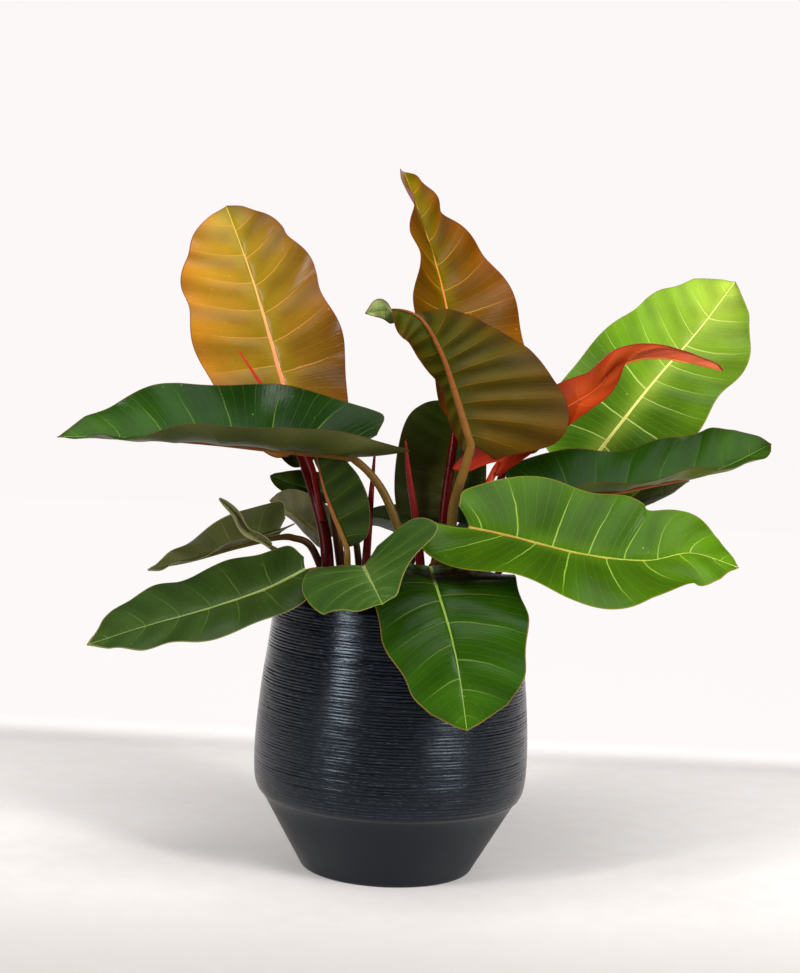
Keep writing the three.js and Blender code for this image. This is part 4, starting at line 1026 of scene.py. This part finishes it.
def tube(points, radii, section):
    """Rings of points round a path, closed at both ends, with the faces and each point's ring and angle."""
    side = np.array([1.0, 0, 0])
    rings = []
    angles = circle_angles(TUBE_SIDES)
    shape = section(angles)
    for point, direction, radius in zip(points, unit(np.gradient(points, axis=0)), radii):
        side = unit(side - direction * (side @ direction))
        other = np.cross(direction, side)
        circle = np.cos(angles)[:, None] * side + np.sin(angles)[:, None] * other
        rings.append(point + radius * shape[:, None] * circle)
    count = len(points)
    ring = np.repeat(np.arange(count), TUBE_SIDES)
    return np.concatenate(rings), ring_faces(count, TUBE_SIDES), ring, np.tile(angles, count)


def round_section(angles):
    return 1 + 0.05 * np.cos(2 * angles)


def folded_section(angles):
    """A rolled sheath: a keel on one side and a seam on the other."""
    keel = 0.16 * np.exp(-((np.angle(np.exp(1j * (angles - 1.2))) / 0.35) ** 2))
    seam = 0.2 * np.exp(-((np.angle(np.exp(1j * (angles + 1.6))) / 0.3) ** 2))
    return 0.97 + keel - seam


def add_tube(name, paths, material, slot, nodes):
    """One piece made of tubes, each with its own points, radii, section and palette."""
    vertices, faces, reach, turn, tints = [], [], [], [], []
    for points, radii, section, palette in paths:
        made, sides, ring, angle = tube(points, radii, section)
        start = sum(len(part) for part in vertices)
        lengths = travelled(points)
        vertices.append(made)
        faces += [[k + start for k in face] for face in sides]
        reach.append(lengths[ring])
        turn.append(np.sin(angle))
        tints.append(tones_at(STALKS[palette], (lengths / lengths[-1])[ring]))
    tints = np.concatenate(tints)
    new_piece(
        name, np.concatenate(vertices), faces, material, slot, nodes,
        {"reach": np.concatenate(reach), "turn": np.concatenate(turn)},
        {"tint": tints, "fleck": np.clip(tints * 2.2 + 0.004, 0, 1)},
    )


def sheath_path(sheath):
    t = np.linspace(0, 1, SHEATH_STEPS)
    radii = even_at(sheath["radii"], t)
    radii[-1] = SHEATH_TIP_RADIUS
    return spline(sheath["route"], t), radii, folded_section, sheath.get("palette", "spear")


def stalk_path(leaf):
    """From the soil to the blade's base, and on along the midrib, sunk into the blade's underside."""
    form = LeafForm(leaf)
    u = np.linspace(0, MIDRIB_END, MIDRIB_STEPS)
    rib_radii = leaf["radii"][-1] * MIDRIB_START_SHARE * (1 - MIDRIB_TAPER * u / MIDRIB_END)
    _, up, _, middle = form.frame_at(u * form.length)
    clear = rib_radii + BLADE_THICKNESS / 2 + MIDRIB_CLEARANCE
    drop = clear + (rib_radii * 0.96 - clear) * np.clip(u / 0.08, 0, 1)
    rib = middle - up * drop[:, None]
    x, y, _ = leaf["route"][0]
    beyond = np.argmin(np.abs(u - 0.1))
    ends = rib[[0, beyond]].tolist()
    control = [[x, y, ROOT_Z], [x, y, COLLAR_Z], *leaf["route"], *ends]
    free = (len(control) - 2) / (len(control) - 1)
    t = np.linspace(0, free, STALK_STEPS)[:-1]
    free_radii = even_at([leaf["radii"][0], *leaf["radii"], rib_radii[0]], t / free)
    points = np.concatenate([spline(control, t), rib])
    lengths = travelled(points)
    swelling = 1 + 0.09 * np.exp(-(((lengths - lengths[len(t)] + 9) / 7) ** 2))
    radii = np.concatenate([free_radii, rib_radii]) * swelling
    radii[-1] = MIDRIB_TIP_RADIUS
    radii[-2] *= 0.75
    return points, radii, round_section, leaf["stalk"]


def add_stalks(materials):
    for leaf in LEAVES:
        name, stalk = leaf["name"], leaf["stalk"]
        paths = [stalk_path(leaf)]
        if name == STALK_SHEATH["stalk"]:
            paths.append(sheath_path(STALK_SHEATH))
        add_tube(name + "_stalk", paths, materials[stalk], "stalk_" + stalk, ["petiole_" + name])
    for sheath in SHEATHS:
        path = sheath_path(sheath)
        add_tube(sheath["name"], [path], materials["crimson"], "stalk_crimson", [sheath["node"]])


def add_stems(material):
    for place, (x, y) in STEMS.items():
        heights = np.linspace(STEM_HEIGHTS[0], STEM_HEIGHTS[-1], STEM_STEPS)
        scar = np.abs((heights / SCAR_SPACING) % 1 - 0.5) * 2
        top = np.clip((STEM_HEIGHTS[-1] - heights) / 5, 0, 1)
        radii = np.interp(heights, STEM_HEIGHTS, STEM_RADII) * (0.9 + 0.1 * scar**3)
        radii = radii * np.sqrt(np.clip(1 - (1 - top) ** 2, 0.05, 1))
        points = np.stack([np.full(STEM_STEPS, float(x)), np.full(STEM_STEPS, float(y)), heights], 1)
        made, faces, ring, _ = tube(points, radii, round_section)
        crest = {"crest": (1 - scar)[ring]}
        new_piece(place + "_stem", made, faces, material, "stem", ["stem_" + place], crest)


def pot_outer_radius(height):
    radii, heights = np.array(POT_OUTLINE, float).T
    curve = spline(np.stack([radii, heights], 1), np.linspace(0, 1, 600))
    return np.interp(height, curve[:, 1], curve[:, 0])


def add_pot(material):
    """A turned body with uneven grooves combed round it, some of them nearly filled in places."""
    heights = np.concatenate([
        [0, 0.8, 2.5, 5], np.linspace(9, 86, 22), np.arange(RIB_START_Z, RIB_END_Z - 7, RIB_ROW_SPACING),
    ])
    random = np.random.default_rng(SEED)
    angles = circle_angles(POT_SEGMENTS)
    radius = np.repeat(pot_outer_radius(heights)[:, None], POT_SEGMENTS, 1)
    radius[0] -= 1.6
    radius[1] -= 0.5
    ribs = int((RIB_END_Z - RIB_START_Z) / RIB_PITCH) + 2
    depth = np.zeros((ribs, POT_SEGMENTS))
    wobble = np.zeros((ribs, POT_SEGMENTS))
    for k in range(ribs):
        for turns in (1, 2, 3, 5, 8, 13, 21):
            depth[k] += random.uniform(0, 1) * np.sin(turns * angles + random.uniform(0, 6.28)) / 2.6
            wobble[k] += random.uniform(0, 1) * np.sin(turns * angles + random.uniform(0, 6.28)) / turns
        depth[k] = np.clip(0.6 + 0.7 * depth[k] + random.uniform(-0.5, 0.35), 0.08, 1.15)
        depth[k, random.integers(0, POT_SEGMENTS, RIB_BREAKS)] *= 0.25
    crest = np.zeros_like(radius)
    for row, at in enumerate((heights - RIB_START_Z) / RIB_PITCH):
        if at < 0:
            continue
        shifted = at + RIB_WOBBLE * wobble[int(at)]
        which = np.clip(np.floor(shifted).astype(int), 0, ribs - 1)
        ridge = np.cos(math.pi * (shifted - np.floor(shifted) - 0.5)) ** 2
        fade = min(1, at / 2)
        radius[row] -= RIB_DEPTH * depth[which, np.arange(POT_SEGMENTS)] * (1 - ridge) * fade
        crest[row] = ridge * fade
    lip_radii, lip_heights = np.array(POT_LIP, float).T
    radius = np.concatenate([radius, np.repeat(POT_RIM_RADIUS + lip_radii[:, None], POT_SEGMENTS, 1)])
    crest = np.concatenate([crest, np.zeros((len(POT_LIP), POT_SEGMENTS))])
    z = np.repeat(np.concatenate([heights, lip_heights])[:, None], POT_SEGMENTS, 1)
    points = np.stack([radius * np.cos(angles), radius * np.sin(angles), z], -1)
    faces = ring_faces(len(points), POT_SEGMENTS)
    values = {"crest": crest.ravel(), "level": z.ravel() / POT_HEIGHT}
    new_piece("ribbed_pot", points.reshape(-1, 3), faces, material, "pot", ["pot"], values)


def soil_height(distance):
    """The middle of the crumbs' heights, at a distance from the pot's axis."""
    slope = SOIL_EDGE_HEIGHT - SOIL_CROWN_HEIGHT
    return SOIL_CROWN_HEIGHT - SOIL_SINK + slope * (distance / SOIL_EDGE_RADIUS) ** 2


def add_soil(material):
    """Crumbly surface, crowned in the middle, on a plain body that fills the pot's neck."""
    angles = circle_angles(SOIL_SEGMENTS)
    r, a = np.meshgrid(np.linspace(1, SOIL_RADIUS, SOIL_RINGS), angles, indexing="ij")
    x, y = r * np.cos(a), r * np.sin(a)
    lumps = waves(SEED + 3, 14, 0.06, 0.28)(x, y)
    crumbs = waves(SEED + 4, 12, 0.5, 1.1)(x, y)
    top = np.stack([x, y, soil_height(r) + LUMP_HEIGHT * lumps + CRUMB_HEIGHT * crumbs], -1)
    skirt = top[-1] * [SOIL_TAPER, SOIL_TAPER, 0] + [0, 0, SOIL_FLOOR_Z]
    points = np.concatenate([top.reshape(-1, 3), skirt])
    faces = ring_faces(SOIL_RINGS + 1, SOIL_SEGMENTS, flip=True)
    new_piece("potting_soil", points, faces, material, "soil", ["soil"])


def add_bark(material):
    """Loose bark chips, each a bevelled flake with its own size, turn and tilt."""
    random = np.random.default_rng(SEED + 5)
    vertices, faces, tints = [], [], []
    for _ in range(CHIPS):
        distance = CHIP_SPREAD * math.sqrt(random.uniform(0.002, 1))
        heading = random.uniform(0, FULL_TURN)
        height = soil_height(distance) + random.uniform(0, CHIP_LIFT)
        centre = [distance * math.cos(heading), distance * math.sin(heading), height]
        long, wide, thick = (random.uniform(*sizes) for sizes in CHIP_SIZES)
        angles = circle_angles(CHIP_SIDES) + random.uniform(-0.25, 0.25, CHIP_SIDES)
        outline = np.stack([long / 2 * np.cos(angles), wide / 2 * np.sin(angles)], 1)
        outline *= random.uniform(0.8, 1.15, (CHIP_SIDES, 1))
        flake = np.concatenate([
            np.concatenate([outline * size, np.full((CHIP_SIDES, 1), thick * up)], 1)
            for size, up in CHIP_LAYERS
        ])
        flake[:, 2] += random.uniform(-0.25, 0.25, len(flake)) * thick
        turn, tilt = random.uniform(0, FULL_TURN), random.uniform(-CHIP_TILT, CHIP_TILT)
        cos, sin = math.cos(turn), math.sin(turn)
        spin = np.array([[cos, -sin, 0], [sin, cos, 0], [0, 0, 1]])
        cos, sin = math.cos(tilt), math.sin(tilt)
        lean = np.array([[1, 0, 0], [0, cos, -sin], [0, sin, cos]])
        start = len(vertices) * len(flake)
        vertices.append(flake @ (spin @ lean).T + centre)
        tints.append(np.full((len(flake), 3), random.uniform(0, 1)))
        faces += [[start + k for k in face] for face in ring_faces(len(CHIP_LAYERS), CHIP_SIDES)]
    tint = {"tint": np.concatenate(tints)}
    piece = new_piece("bark_chips", np.concatenate(vertices), faces, material, "soil", [], {}, tint)
    piece.data.polygons.foreach_set("use_smooth", np.zeros(len(piece.data.polygons), bool))


def add_stage():
    """A pale floor that turns into the glowing backdrop with the distance."""
    shader = Shader("pale_floor", {"Specular IOR Level": 0.2, "Roughness": 0.6})
    place = shader.place()
    stain = shader.noise(place, 26, 6, 0.65)
    depth = shader.node("SeparateXYZ", "Y", {0: place})
    distance = shader.node("VectorMath", "Value", {0: place}, operation="LENGTH")
    behind, around = shader.ramp(depth, *FLOOR_FADE_BEHIND), shader.ramp(distance, *FLOOR_FADE_AROUND)
    far = shader.math("MAXIMUM", behind, around)
    tone = shader.mix(shader.ramp(stain, 0.3, 0.7), paint(239, 233, 229), paint(244, 239, 236))
    # Painted shade: the floor is greyed towards the front, where the lamps light it most
    tone = shader.mix(shader.ramp(depth, -0.6, 0.2, 0.8, 0), tone, paint(150, 144, 140))
    shader.set("Base Color", shader.mix(far, tone, (0, 0, 0, 1)))
    shader.set("Emission Color", paint(*BACKDROP))
    shader.set("Emission Strength", shader.ramp(far, 0, 1, FLOOR_GLOW, BACKDROP_STRENGTH))
    mesh = bpy.data.meshes.new("floor")
    ring = [(FLOOR_RADIUS * math.cos(a), FLOOR_RADIUS * math.sin(a), 0) for a in circle_angles(FLOOR_SIDES)]
    mesh.from_pydata(ring, [], [list(range(FLOOR_SIDES))])
    mesh.materials.append(shader.material)
    floor = place_object("floor", mesh)


def add_light(name, place, size, power):
    light = bpy.data.lights.new(name, "AREA")
    light.shape = "RECTANGLE"
    light.size, light.size_y = size
    light.energy = power
    lamp = place_object(name, light)
    lamp.location = place
    lamp.rotation_euler = (Vector(LIGHT_AIM) - Vector(place)).to_track_quat("-Z", "Y").to_euler()


def add_world():
    """Soft light from all round, and a brighter white where the camera looks past the floor."""
    world = bpy.data.worlds.new("studio")
    world.use_nodes = True
    nodes, links = world.node_tree.nodes, world.node_tree.links
    background = nodes["Background"]
    background.inputs["Color"].default_value = paint(*BACKDROP)
    path = nodes.new("ShaderNodeLightPath")
    strength = nodes.new("ShaderNodeMapRange")
    strength.inputs["To Min"].default_value = WORLD_STRENGTH
    strength.inputs["To Max"].default_value = BACKDROP_STRENGTH
    links.new(path.outputs["Is Camera Ray"], strength.inputs["Value"])
    links.new(strength.outputs[0], background.inputs["Strength"])
    bpy.context.scene.world = world


def add_camera():
    camera = bpy.data.cameras.new("camera")
    camera.lens = CAMERA_LENS
    camera.clip_end = 50
    holder = place_object("camera", camera)
    holder.location = CAMERA_PLACE
    level = Matrix.Rotation(math.radians(90 - CAMERA_PITCH), 4, "X")
    holder.rotation_euler = (level @ Matrix.Rotation(math.radians(CAMERA_ROLL), 4, "Z")).to_euler()
    bpy.context.scene.camera = holder


def main():
    add_camera()
    add_world()
    for name, settings in LIGHTS.items():
        add_light(name, *settings)
    add_stage()
    add_pot(pot_material())
    add_soil(soil_material())
    add_bark(bark_material())
    add_stems(stem_material())
    blades = {key: blade_material(key + "_blade", *finish) for key, finish in BLADE_FINISHES.items()}
    for place, leaf in enumerate(LEAVES):
        add_blade(leaf, SEED + place, blades[leaf["blade"]])
    add_stalks({key: stalk_material(key + "_stalk") for key in ("crimson", "flame", "tan", "umber")})
    bpy.context.scene.view_settings.view_transform = "Standard"


main()
